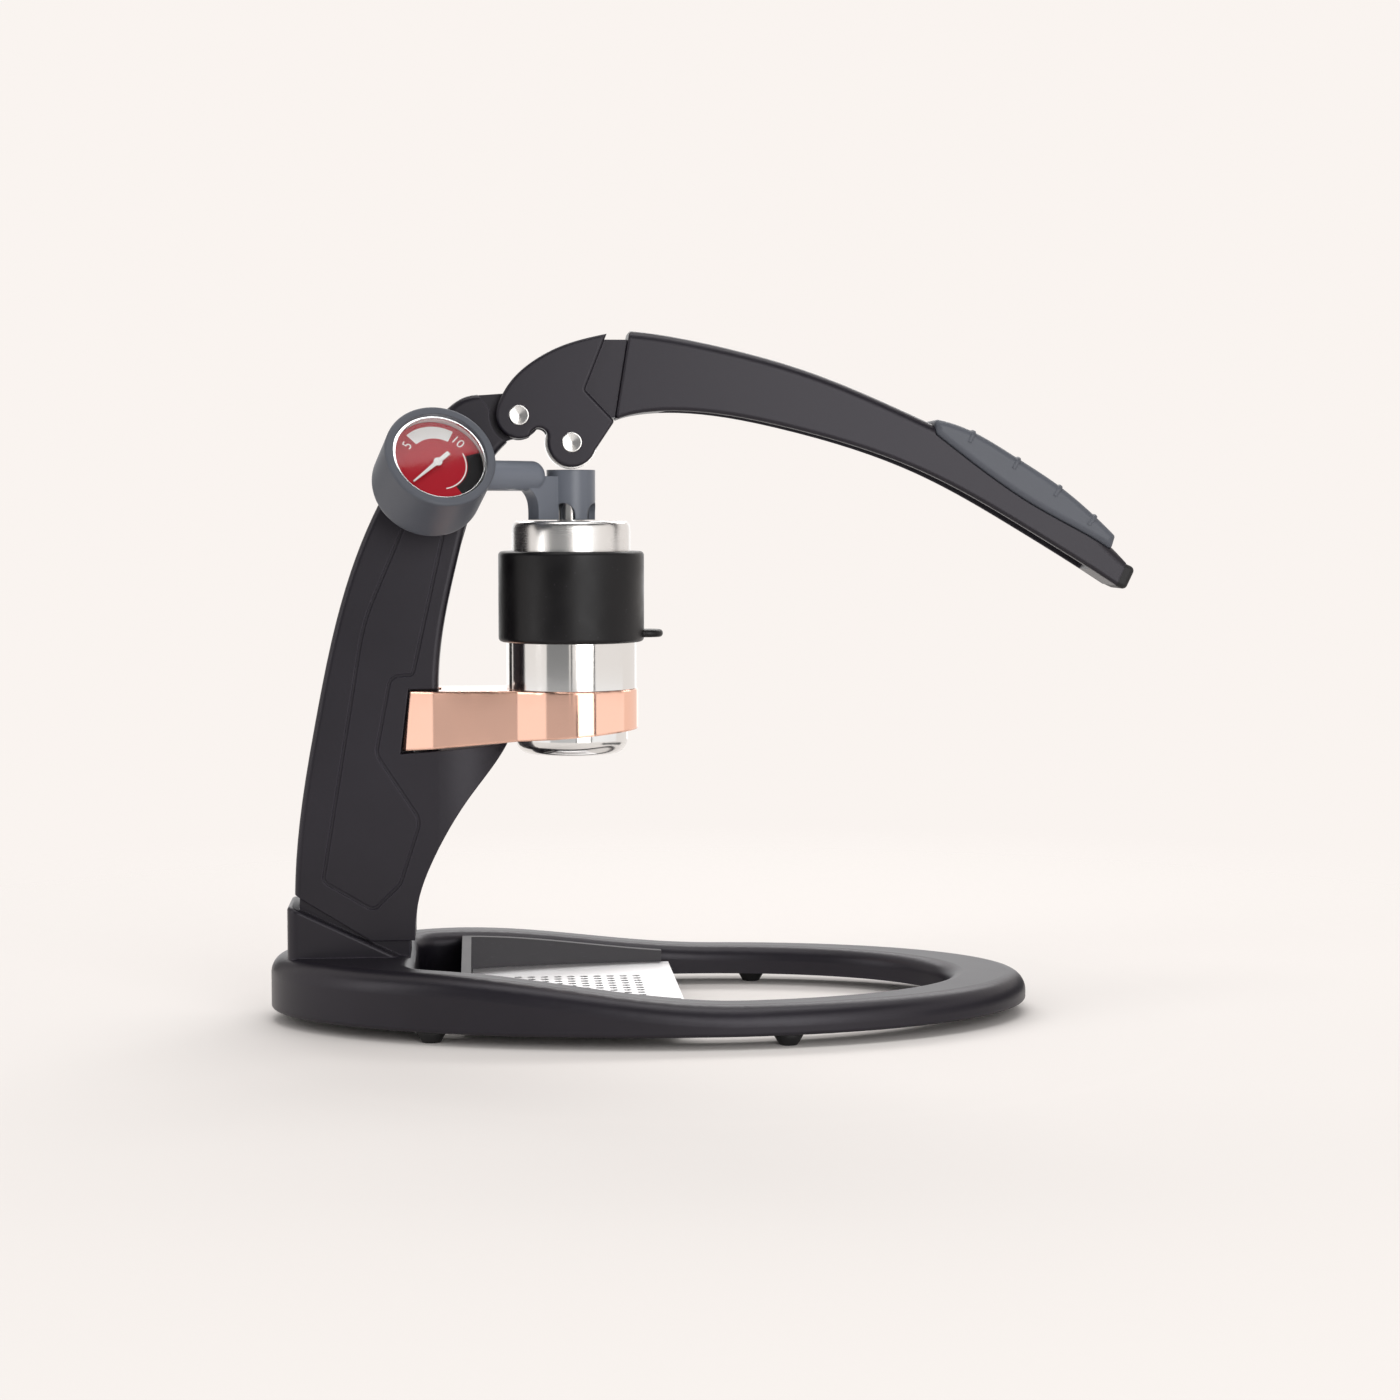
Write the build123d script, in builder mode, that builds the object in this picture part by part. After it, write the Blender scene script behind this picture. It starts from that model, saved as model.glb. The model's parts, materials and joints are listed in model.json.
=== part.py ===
from build123d import *
import os
from math import cos, radians, sin, sqrt

# Manual lever espresso maker. Millimetres, +Z up, +X from the heel to the front of the base.
# The origin lies under the middle of the whole machine, on the table.

# Base loop
heel_x = -183.0
front_x = 138.7
widest_x = -2.0
base_half_width = 84.5
rim_width = 21.0
nose_length = 33.0
deck_length = 61.0
rim_top_z = 17.0
heel_top_z = 28.0
crest_start_x = 12.0
crest_end_x = -118.0
rim_outer_round = 8.0
rim_inner_round = 6.0
rim_under_round = 1.5
opening_corner = 12.0

# Feet
foot_height = 5.0
foot_top_r = 6.0
foot_bottom_r = 3.8
foot_stem_r = 2.5
foot_stem_length = 6.0
foot_xs = (28.0, -115.0)
foot_inset = 9.0
foot_band = 1.2

# Drip tray and grate
tray_clearance = 0.6
tray_wall = 4.0
tray_shelf = 2.5
tray_floor = 1.5
tray_front_x = -14.0
tray_rear_x = -103.0
tray_drop = 1.6
tray_lip_height = 3.6
ledge_width = 3.0
ledge_height = 1.6
grate_thickness = 1.2
grate_clearance = 0.4
grate_overhang = 3.0
grate_hole_r = 1.75
grate_pitch = 5.7
grate_columns = 11
grate_rows = 9

# Post
post_half_width = 15.0
tongue_half_width = 6.6
post_foot_z = 34.5
post_front_x = -122.3
post_step_x = -140.5
post_rear = (-172.0, 54.2)
post_edge_round = 2.5
web_half_width = 7.6
web_front_x = -112.0
nose_reach = 29.0
nose_steps = ((12.3, 93.5), (-3.7, 65.6))
tongue_dip = (-10.7, -16.8)
lug_r = 9.4
shoulder_r = 12.2
groove_width = 1.3
groove_depth = 0.8

# Collar on the heel that carries the post
collar_half_width = 18.5
collar_wall = 2.0
collar_heel = 3.2
collar_lip_round = 1.5
skirt_drop = 2.4
skirt_front_z = 24.0
seat_gap = 0.3
tenon_length = 24.0
tenon_half_width = 8.0
tenon_x = -150.0
tenon_bottom_z = 27.0
fit_clearance = 0.2

# Clamp stud and knob under the heel
stud_r = 4.0
stud_reach = 20.0
running_clearance = 0.05
knob_r = 13.0
knob_height = 8.5
knob_lobes = 8
knob_lobe_r = 2.4
knob_gap = 0.3
washer_r = 9.0
washer_thickness = 1.5
knob_pocket_r = 17.0
knob_pocket_z = 17.0

# Lever linkage
pivot_x = -77.9
pivot_z = 253.2
crank_length = 24.55
crank_angle = -26.9
pin_r = 4.2
pin_proud = 0.8
bush_r = 6.0
roller_r = 10.9
roller_half_width = 6.5
roller_gap = 0.4

# Lever head
head_half_width = 14.0
slot_half_width = 7.1
pivot_lobe_r = 9.7
pusher_lobe_r = 10.2
head_edge_round = 1.2
head_corner_round = 1.5
pivot_lobe_start = -62.0
pivot_lobe_sweep = -138.0
pusher_lobe_start = -20.0
pusher_lobe_sweep = -170.0
crown_steps = ((-2.1, 15.5), (10.1, 25.0))
crook = (8.4, -5.2)
neck_half_width = 11.5
tenon_tongue_half_width = 8.0
roller_room = 12.5
web_start = 8.0
head_tip = (-41.4, 287.0)
head_notch = (-50.6, 263.8)
head_point = (-38.2, 250.9)
neck_outline = ((-57.0, 259.5), (-46.0, 284.6), (-32.8, 284.6), (-37.9, 252.4), (-41.0, 252.4))
tenon_outline = ((-44.0, 262.0), (-42.0, 280.0), (-12.0, 277.0), (-15.0, 263.0))

# Lever arm, grip and end cap
arm_half_width = 13.5
arm_edge_round = 4.0
arm_lip_round = 1.6
arm_start_round = 0.9
channel_wall = 3.2
channel_depth = 8.0
channel_start = (-25.0, 253.6)
channel_end = (164.0, 188.7)
grip_half_width = 14.2
grip_wall = 3.5
grip_slope = 36.0
grip_edge_round = 3.0
grip_corner_round = 1.4
ridge_places = (0.19, 0.43, 0.66, 0.87)
ridge_width = 1.9
ridge_proud = 0.7
ridge_round = 0.6
ridge_flank = 0.25
ridge_lap = 5.6
cap_x = 176.8
cap_z = 186.8
cap_dip = 25.0
cap_reach = 5.215
cap_half_width = 11.0
cap_half_height = 5.2
cap_round = 2.2
cap_peg_r = 3.0
cap_peg_length = 9.0

# Outlines in the side view
post_back = ((-162.9, 126.0), (-139.2, 209.8), (-107.1, 256.1))
post_front = (-102.2, 199.4)
shoulder_corner = (-95.0, 261.6)
shoulder_start_angle = 170.0
shoulder_sweep = 76.0
panel_outline = (
    (-160.8, 59.5),
    (-139.2, 46.5),
    (-127.5, 58.0),
    (-118.8, 85.0),
    (-137.0, 113.0),
    (-131.0, 144.6),
    (-121.8, 145.0),
    (-102.5, 232.0),
    (-114.0, 236.0),
    (-143.0, 168.0),
)
panel_rounds = (4.0, 4.0, 6.0, 9.0, 7.0, 4.0, 3.0, 5.0, 5.0, 90.0)
arm_top = (
    (-32.0, 288.3),
    (-13.0, 285.9),
    (10.8, 281.0),
    (43.7, 271.7),
    (82.0, 256.2),
    (120.0, 237.8),
    (150.0, 218.6),
    (173.0, 198.2),
)
arm_bottom = (
    (-37.9, 251.3),
    (-25.0, 254.6),
    (-10.0, 255.2),
    (10.8, 253.2),
    (34.5, 248.4),
    (93.0, 229.4),
    (136.8, 205.5),
)
grip_top = ((96.3, 252.2), (111.9, 247.4), (130.5, 236.8), (148.3, 225.4), (164.6, 212.2), (174.2, 203.0))
grip_under = (
    (96.8, 245.6),
    (109.0, 236.2),
    (125.3, 224.3),
    (140.1, 214.9),
    (154.9, 206.9),
    (172.4, 197.0),
)

# Portafilter
ring_top_z = 139.0
ring_r = 28.1
fork_rear_x = -127.0
fork_rear_lean = 3.5
fork_rear_bottom_z = 113.9
fork_front_bottom_z = 122.2
fork_facet_length = 13.0
fork_half_width = 19.0
fork_rear_half_width = 12.7
fork_inner_half_width = 8.0
fork_shelf_gap = 0.3
fork_travel = 12.0
fork_edge_round = 0.8
ring_facet_x = -79.3
ring_join_angle = 110.0
pocket_gap = 0.8

# Filter basket and screen
basket_r = 23.7
basket_wall = 0.9
basket_depth = 27.4
basket_round = 6.0
flange_r = 26.4
flange_thickness = 1.5
basket_clearance = 0.3
basket_hole_r = 1.0
sieve_rings = 3
sieve_pitch = 4.6
screen_r = 22.2
screen_thickness = 1.2
screen_hole_r = 1.2
gasket_inner_r = 24.0
gasket_outer_r = 25.6
gasket_thickness = 1.2

# Brew cylinder and sleeve
cylinder_lift = 0.1
lower_r = 27.35
upper_r = 25.0
bore_r = 20.75
foot_length = 23.9
barrel_length = 46.4
mouth_r = 22.9
crown_height = 6.5
sleeve_r = 30.7
sleeve_drop = 4.3
sleeve_height = 38.1
sleeve_clearance = 0.1
sleeve_round = 1.8
tab_reach = 8.0
tab_half_width = 7.0
tab_thickness = 3.2
tab_round = 1.4

# Plunger
piston_r = 20.4
piston_lift = 11.9
piston_height = 16.0
seal_minor_r = 1.35
seal_squeeze = 0.07
seal_inset = 4.0
stem_r = 6.0
stem_play = 0.3
bolt_head_r = 5.0
bolt_head_height = 3.0
bolt_r = 2.5
bolt_length = 12.0

# Gauge head on the plunger
hub_r = 10.25
hub_wall = 2.4
hub_lift = 0.5
hub_cap = 2.6
hub_journal = 6.0
window_height = 7.0
window_width = 9.6
window_turn = 21.0
pipe_r = 6.25
pipe_drop = 2.7
pipe_angle = 34.6
pipe_start = 15.5
pipe_end = 58.0
pipe_round = 5.0
web_half_thickness = 3.75
web_foot_r = 19.4
web_waist_r = 20.35
web_waist_share = 0.4727
web_top_r = 25.6
web_top_share = 0.7366

# Pressure gauge
gauge_x = -109.7
gauge_y = -51.2
gauge_z = 235.8
gauge_face_turn = 16.35
gauge_face_tilt = 29.1
case_r = 20.4
case_wall = 1.2
case_depth = 18.0
boot_wall = 2.35
boot_depth = 30.2
boot_lip = 1.2
boot_lip_cover = 1.0
boot_back_round = 6.0
boot_front_round = 1.0
bezel_width = 2.2
bezel_thickness = 2.0
bezel_lip = 0.7
bezel_play = 0.1
lens_cover = 0.6
lens_thickness = 1.2
dial_play = 0.3
dial_depth = 6.0
dial_thickness = 0.6
needle_angle = 219.0
needle_rim_gap = 4.4
needle_tail = 6.5
needle_thickness = 0.6
needle_lift = 0.7
needle_hub_r = 1.8
needle_shaft_r = 0.7
tube_r = 1.8
tube_rim_gap = 6.9
tube_sweep = 250.0
tube_depth = 14.0
movement_width = 16.0
movement_height = 10.0
movement_depth = 4.0
socket_width = 7.0

def around(centre, radius, angle):
    """Point on a circle, by its angle in degrees."""
    return (centre[0] + radius * cos(radians(angle)), centre[1] + radius * sin(radians(angle)))


def far_side(half_width):
    """Side-view plane on the far side of a piece of this half width, facing the near side."""
    return Plane.XZ.offset(-half_width)


def beside_pivot(dx, dz):
    """Point of the lever head in the side view, measured from its pivot."""
    return (pivot_x + dx, pivot_z + dz)


def fork_bottom_z(x):
    """Height of the portafilter's sloping underside."""
    front = brew_x + ring_r
    slope = (fork_front_bottom_z - fork_rear_bottom_z) / (front - fork_rear_x)
    return fork_rear_bottom_z + slope * (x - fork_rear_x)


def shelf_z(x):
    """Height of the post's shelf, low enough for the fork to be drawn forward over it."""
    return fork_bottom_z(x - fork_travel) - fork_shelf_gap


# Worked out from the sizes above
pusher_x = pivot_x + crank_length * cos(radians(crank_angle))
pusher_z = pivot_z + crank_length * sin(radians(crank_angle))
brew_x = pusher_x
cylinder_bottom_z = ring_top_z + cylinder_lift
shoulder_z = cylinder_bottom_z + foot_length
cylinder_top_z = shoulder_z + barrel_length
sleeve_bottom_z = shoulder_z - sleeve_drop
sleeve_top_z = sleeve_bottom_z + sleeve_height
piston_bottom_z = cylinder_bottom_z + piston_lift
hub_top_z = pusher_z - roller_r - roller_gap
hub_bottom_z = cylinder_top_z + hub_lift
pipe_z = hub_top_z - pipe_drop
web_waist_z = hub_bottom_z + web_waist_share * (pipe_z - hub_bottom_z)
web_top_z = hub_bottom_z + web_top_share * (pipe_z - hub_bottom_z)
stem_top_z = hub_top_z - hub_cap
opening_rear_x = heel_x + deck_length
tray_floor_z = foot_height + ledge_height + fit_clearance
grate_z = tray_floor_z + tray_lip_height

ring_join = around((brew_x, 0), ring_r, ring_join_angle)
fork_gap_x = web_front_x + pocket_gap
flange_z = ring_top_z - flange_thickness
basket_bottom_z = ring_top_z - basket_depth
gasket_bottom_z = ring_top_z + running_clearance
screen_seat_z = cylinder_bottom_z + screen_thickness
gasket_seat_z = gasket_bottom_z + gasket_thickness
piston_top_z = piston_bottom_z + piston_height
seal_ring_r = bore_r - seal_squeeze - seal_minor_r
seal_heights = (piston_bottom_z + seal_inset, piston_top_z - seal_inset)
boot_r = case_r + boot_wall
boot_lip_r = case_r - boot_lip_cover
bezel_inner_r = case_r - bezel_width
lens_r = bezel_inner_r + lens_cover
dial_r = case_r - case_wall - dial_play
needle_length = dial_r - needle_rim_gap
tube_bend_r = dial_r - tube_rim_gap
bezel_depth = boot_lip + running_clearance
case_front_depth = bezel_depth + bezel_thickness
case_back_depth = case_front_depth + case_depth - case_wall
pipe_along = Vector(-cos(radians(pipe_angle)), -sin(radians(pipe_angle)), 0)
pipe_side = Plane(origin=(brew_x, 0, 0), x_dir=pipe_along, z_dir=pipe_along.cross(Vector(0, 0, 1)))

seat_slope = (post_rear[1] - post_foot_z) / (post_step_x - post_rear[0])
skirt_rear_z = post_rear[1] - skirt_drop

pivot = (pivot_x, pivot_z)
pusher = (pusher_x, pusher_z)
web_bottom_z = shelf_z(web_front_x)
nose_root_x = post_front_x - post_half_width / 2
knob_bottom_z = knob_pocket_z - washer_thickness - knob_gap - knob_height
cap_facing = Vector(cos(radians(cap_dip)), 0, -sin(radians(cap_dip)))
cap_plane = Plane(origin=(cap_x, 0, cap_z), x_dir=(0, 1, 0), z_dir=cap_facing)
cap_high = around((cap_x, cap_z), cap_half_height, 90 - cap_dip)
cap_low = around((cap_x, cap_z), cap_half_height, 270 - cap_dip)
grip_line = Spline(*grip_top)

gauge_normal = Vector(
    sin(radians(gauge_face_turn)) * cos(radians(gauge_face_tilt)),
    -cos(radians(gauge_face_turn)) * cos(radians(gauge_face_tilt)),
    sin(radians(gauge_face_tilt)),
)
gauge_right = Vector(cos(radians(gauge_face_turn)), sin(radians(gauge_face_turn)), 0)
gauge_up = gauge_normal.cross(gauge_right)
gauge_plane = Plane(origin=(gauge_x, gauge_y, gauge_z), x_dir=gauge_right, z_dir=gauge_normal)
needle_along = gauge_right * cos(radians(needle_angle)) + gauge_up * sin(radians(needle_angle))
needle_plane = Plane(
    origin=gauge_plane.offset(needle_lift - dial_depth).origin, x_dir=needle_along, z_dir=gauge_normal
)


def loop_face(rear, front, half_width):
    """Flat egg-shaped face: two half ellipses that meet at the widest place."""
    with BuildSketch() as face:
        with BuildLine():
            EllipticalCenterArc((widest_x, 0), front - widest_x, half_width, start_angle=-90, arc_size=180)
            EllipticalCenterArc((widest_x, 0), widest_x - rear, half_width, start_angle=90, arc_size=180)
        make_face()
    return face.sketch


def opening_face(inset):
    """Plan of the loop's opening, drawn in by an inset."""
    with BuildSketch() as face:
        add(
            loop_face(
                heel_x + rim_width + inset,
                front_x - nose_length - inset,
                base_half_width - rim_width - inset,
            )
        )
        with Locations((opening_rear_x + inset, 0)):
            Rectangle(2 * front_x, 2 * base_half_width, align=(Align.MIN, Align.CENTER), mode=Mode.INTERSECT)
        fillet(face.vertices().group_by(Axis.X)[0], radius=opening_corner)
    return face.sketch


def tray_face(inset, front):
    """Plan of the drip tray inside the opening, drawn in by an inset, as far as a front edge."""
    with BuildSketch() as face:
        add(opening_face(tray_clearance + inset))
        with Locations((tray_rear_x + inset, 0)):
            Rectangle(
                front - tray_rear_x - inset,
                2 * base_half_width,
                align=(Align.MIN, Align.CENTER),
                mode=Mode.INTERSECT,
            )
    return face.sketch


def below_crest(drop):
    """Side view of all that lies below the crest of the rim, lowered by a drop."""
    low = rim_top_z - drop
    high = heel_top_z - drop
    with BuildSketch() as region:
        with BuildLine():
            Line((front_x, low), (crest_start_x, low))
            Spline((crest_start_x, low), (crest_end_x, high), tangents=[(-1, 0), (-1, 0)])
            Line((crest_end_x, high), (heel_x, high))
            Polyline((heel_x, high), (heel_x, 0), (front_x, 0), (front_x, low))
        make_face()
    return region.sketch


def foot_places():
    """Centre of each foot, a little inside the outer edge of the loop."""
    places = []
    for x in foot_xs:
        reach = (front_x if x > widest_x else heel_x) - widest_x
        half_width = base_half_width * sqrt(1 - ((x - widest_x) / reach) ** 2)
        for side in (-1, 1):
            places.append((x, side * (half_width - foot_inset)))
    return places


def panel_face(inset):
    """Outline of the sunk line on the post's sides, drawn in by an inset."""
    with BuildSketch() as face:
        with BuildLine():
            FilletPolyline(*panel_outline, radius=panel_rounds, close=True)
        make_face()
        if inset > 0:
            offset(amount=-inset, kind=Kind.INTERSECTION)
    return face.sketch


def arm_face():
    """Side view of the lever arm, cut off square where its end cap begins."""
    with BuildSketch() as face:
        with BuildLine():
            top = Spline(arm_top, tangents=[(1, -0.06), (0.74, -0.67)])
            under = Spline((cap_low, *arm_bottom[::-1]), tangents=[(-0.84, 0.55), (-0.9, -0.44)])
            Polyline(top @ 1, cap_high, cap_low)
            Line(under @ 1, top @ 0)
        make_face()
    return face.sketch


def channel_face():
    """Side view of the channel that is cast into the arm's underside."""
    line = (*arm_bottom[4:], channel_end)
    with BuildSketch() as face:
        with BuildLine():
            roof = Spline([channel_start, *((x, z + channel_depth) for x, z in line)])
            mouth = Spline([(x, z - channel_depth) for x, z in (channel_start, *line)])
            Line(roof @ 0, mouth @ 0)
            Line(roof @ 1, mouth @ 1)
        make_face()
    return face.sketch


def grip_face(drop):
    """Side view of the grip, moved into the arm by a drop square to its top."""
    dx = -drop * sin(radians(grip_slope))
    dz = -drop * cos(radians(grip_slope))
    with BuildSketch() as face:
        with BuildLine():
            top = Spline([(x + dx, z + dz) for x, z in grip_top])
            under = Spline([(x + dx, z + dz) for x, z in grip_under])
            Line(top @ 0, under @ 0)
            Line(top @ 1, under @ 1)
        make_face()
        fillet(face.vertices(), radius=grip_corner_round)
    return face.sketch


def ridge_face():
    """Cross section of a ridge that laps over the grip's top and down its flanks."""
    with BuildSketch() as face:
        with Locations((0, ridge_proud)):
            Rectangle(2 * (grip_half_width + ridge_flank), ridge_lap, align=(Align.CENTER, Align.MAX))
        fillet(face.vertices().group_by(Axis.Y)[-1], radius=grip_edge_round)
    return face.sketch


feet_at = foot_places()

os.makedirs("parts", exist_ok=True)

# Collar on the heel: a sloping seat inside a slightly lower skirt
with BuildPart() as collar:
    with BuildSketch(Plane.XY.offset(heel_top_z - rim_outer_round)):
        with Locations(((post_rear[0] + post_front_x) / 2 - collar_heel / 2, 0)):
            RectangleRounded(
                post_front_x - post_rear[0] + collar_heel,
                2 * collar_half_width,
                post_edge_round + collar_wall,
            )
    extrude(amount=post_rear[1])
    with BuildSketch(far_side(2 * collar_half_width)):
        with BuildLine():
            Polyline(
                (post_rear[0] - 2 * collar_heel, skirt_rear_z),
                (post_rear[0] - 2 * collar_heel, 0),
                (post_front_x + collar_wall, 0),
                (post_front_x + collar_wall, skirt_front_z),
                close=True,
            )
        make_face()
    extrude(amount=4 * collar_half_width, mode=Mode.INTERSECT)
    fillet(collar.edges().filter_by(lambda edge: (edge @ 0.5).Z > heel_top_z), radius=collar_lip_round)
    with BuildSketch(far_side(post_half_width - collar_wall)):
        with BuildLine():
            Polyline(
                (post_rear[0] + collar_wall, post_rear[1] - seat_gap - collar_wall * seat_slope),
                (post_step_x, post_foot_z - seat_gap),
                (post_front_x - collar_wall, post_foot_z - seat_gap),
                (post_front_x - collar_wall, heel_top_z - rim_outer_round),
                (post_rear[0] + collar_wall, heel_top_z - rim_outer_round),
                close=True,
            )
        make_face()
    extrude(amount=2 * (post_half_width - collar_wall))

# Cast base: a loop that rises to the heel, with a collar for the post and a ledge for the tray
with BuildPart() as base_frame:
    with BuildSketch(Plane.XY.offset(foot_height)):
        add(loop_face(heel_x, front_x, base_half_width))
    extrude(amount=heel_top_z)
    with BuildSketch(far_side(2 * base_half_width)):
        add(below_crest(0))
    extrude(amount=4 * base_half_width, mode=Mode.INTERSECT)
    fillet(base_frame.faces().sort_by(Axis.Z)[0].edges(), radius=rim_under_round)
    top_faces = base_frame.faces().filter_by(lambda face: face.normal_at().Z > 0.9)
    seams = [edge for face in top_faces for edge in face.edges()]
    fillet([edge for edge in seams if seams.count(edge) == 1], radius=rim_outer_round)
    with BuildSketch(Plane.XY):
        add(opening_face(0))
    extrude(amount=heel_top_z + foot_height, mode=Mode.SUBTRACT)
    inner_faces = base_frame.faces().filter_by(lambda face: face.normal_at().Z > 0.9)
    hole_edges = [edge for face in inner_faces for edge in face.edges()]
    opening_plan = opening_face(0).faces()[0]
    inner_edges = [
        edge
        for edge in hole_edges
        if hole_edges.count(edge) == 1
        and opening_plan.distance_to(Vector((edge @ 0.5).X, (edge @ 0.5).Y, 0)) < 0.01
    ]
    fillet(inner_edges, radius=rim_inner_round)
    with BuildSketch(Plane.XY.offset(foot_height)):
        add(opening_face(0))
        add(opening_face(ledge_width), mode=Mode.SUBTRACT)
        with Locations((opening_rear_x, 0)):
            Rectangle(
                tray_front_x - opening_rear_x,
                2 * base_half_width,
                align=(Align.MIN, Align.CENTER),
                mode=Mode.INTERSECT,
            )
    extrude(amount=ledge_height)
    add(collar.part)
    with Locations((tenon_x, 0, foot_height)):
        Cylinder(
            knob_pocket_r,
            knob_pocket_z - foot_height,
            align=(Align.CENTER, Align.CENTER, Align.MIN),
            mode=Mode.SUBTRACT,
        )
    with Locations((tenon_x, 0, 0)):
        Cylinder(
            stud_r + fit_clearance,
            post_rear[1],
            align=(Align.CENTER, Align.CENTER, Align.MIN),
            mode=Mode.SUBTRACT,
        )
    with Locations((tenon_x, 0, tenon_bottom_z - fit_clearance)):
        Box(
            tenon_length + 2 * fit_clearance,
            2 * (tenon_half_width + fit_clearance),
            post_rear[1],
            align=(Align.CENTER, Align.CENTER, Align.MIN),
            mode=Mode.SUBTRACT,
        )
    for x, y in feet_at:
        with Locations((x, y, foot_height)):
            Cylinder(
                foot_stem_r,
                foot_stem_length + fit_clearance,
                align=(Align.CENTER, Align.CENTER, Align.MIN),
                mode=Mode.SUBTRACT,
            )
base_frame.part.label = "base_frame"
export_step(base_frame.part, "parts/base_frame.step")

# Rubber feet with push-in stems
with BuildPart() as feet:
    for x, y in feet_at:
        with BuildSketch(Plane(origin=(x, y, 0), x_dir=(1, 0, 0), z_dir=(0, -1, 0))):
            with BuildLine():
                Polyline(
                    (0, 0),
                    (foot_bottom_r, 0),
                    (foot_top_r, foot_height - foot_band),
                    (foot_top_r, foot_height),
                    (foot_stem_r, foot_height),
                    (foot_stem_r, foot_height + foot_stem_length),
                    (0, foot_height + foot_stem_length),
                    close=True,
                )
            make_face()
        revolve(axis=Axis((x, y, 0), (0, 0, 1)))
feet.part.label = "feet"
export_step(feet.part, "parts/feet.step")

# Drip tray: a shallow pan whose side walls rise to the crest of the rim, open to the front
with BuildPart() as drip_tray:
    with BuildSketch(Plane.XY.offset(tray_floor_z)):
        add(tray_face(0, tray_front_x))
    extrude(amount=heel_top_z)
    with BuildSketch(far_side(2 * base_half_width)):
        add(below_crest(tray_drop))
    extrude(amount=4 * base_half_width, mode=Mode.INTERSECT)
    with BuildSketch(Plane.XY.offset(grate_z)):
        add(tray_face(tray_wall, tray_front_x + tray_wall))
    extrude(amount=heel_top_z, mode=Mode.SUBTRACT)
    with BuildSketch(Plane.XY.offset(tray_floor_z + tray_floor)):
        add(tray_face(tray_wall + tray_shelf, tray_front_x - tray_shelf))
    extrude(amount=heel_top_z, mode=Mode.SUBTRACT)
drip_tray.part.label = "drip_tray"
export_step(drip_tray.part, "parts/drip_tray.step")

# Perforated plate that lies on the tray's shelf, with a square grid of holes under the basket
with BuildPart() as drip_grate:
    with BuildSketch(Plane.XY.offset(grate_z)):
        add(tray_face(tray_wall + grate_clearance, tray_front_x + grate_overhang))
        with Locations((brew_x, 0)):
            with GridLocations(grate_pitch, grate_pitch, grate_columns, grate_rows):
                Circle(grate_hole_r, mode=Mode.SUBTRACT)
    extrude(amount=grate_thickness)
drip_grate.part.label = "drip_grate"
export_step(drip_grate.part, "parts/drip_grate.step")

# Nose of the post below the portafilter: round in plan, cut off by the sweep of its front edge
with BuildPart() as post_nose:
    with BuildSketch(Plane.XY.offset(post_foot_z)):
        with Locations((web_front_x, 0)):
            Ellipse(nose_reach, post_half_width)
            Rectangle(4 * post_half_width, 2 * post_half_width, align=(Align.MAX, Align.CENTER))
    extrude(amount=ring_top_z - post_foot_z)
    with BuildSketch(far_side(2 * post_half_width)):
        with BuildLine():
            nose_tip = (web_front_x + nose_reach, shelf_z(web_front_x + nose_reach))
            nose_back = (nose_root_x, shelf_z(nose_root_x))
            nose_sweep = Spline(
                nose_tip,
                *((web_front_x + dx, z) for dx, z in nose_steps),
                (post_front_x, post_foot_z),
                tangents=[(-0.5, -0.86), (0, -1)],
            )
            Polyline(nose_sweep @ 1, (nose_root_x, post_foot_z), nose_back, nose_tip)
        make_face()
    extrude(amount=4 * post_half_width, mode=Mode.INTERSECT)

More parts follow.
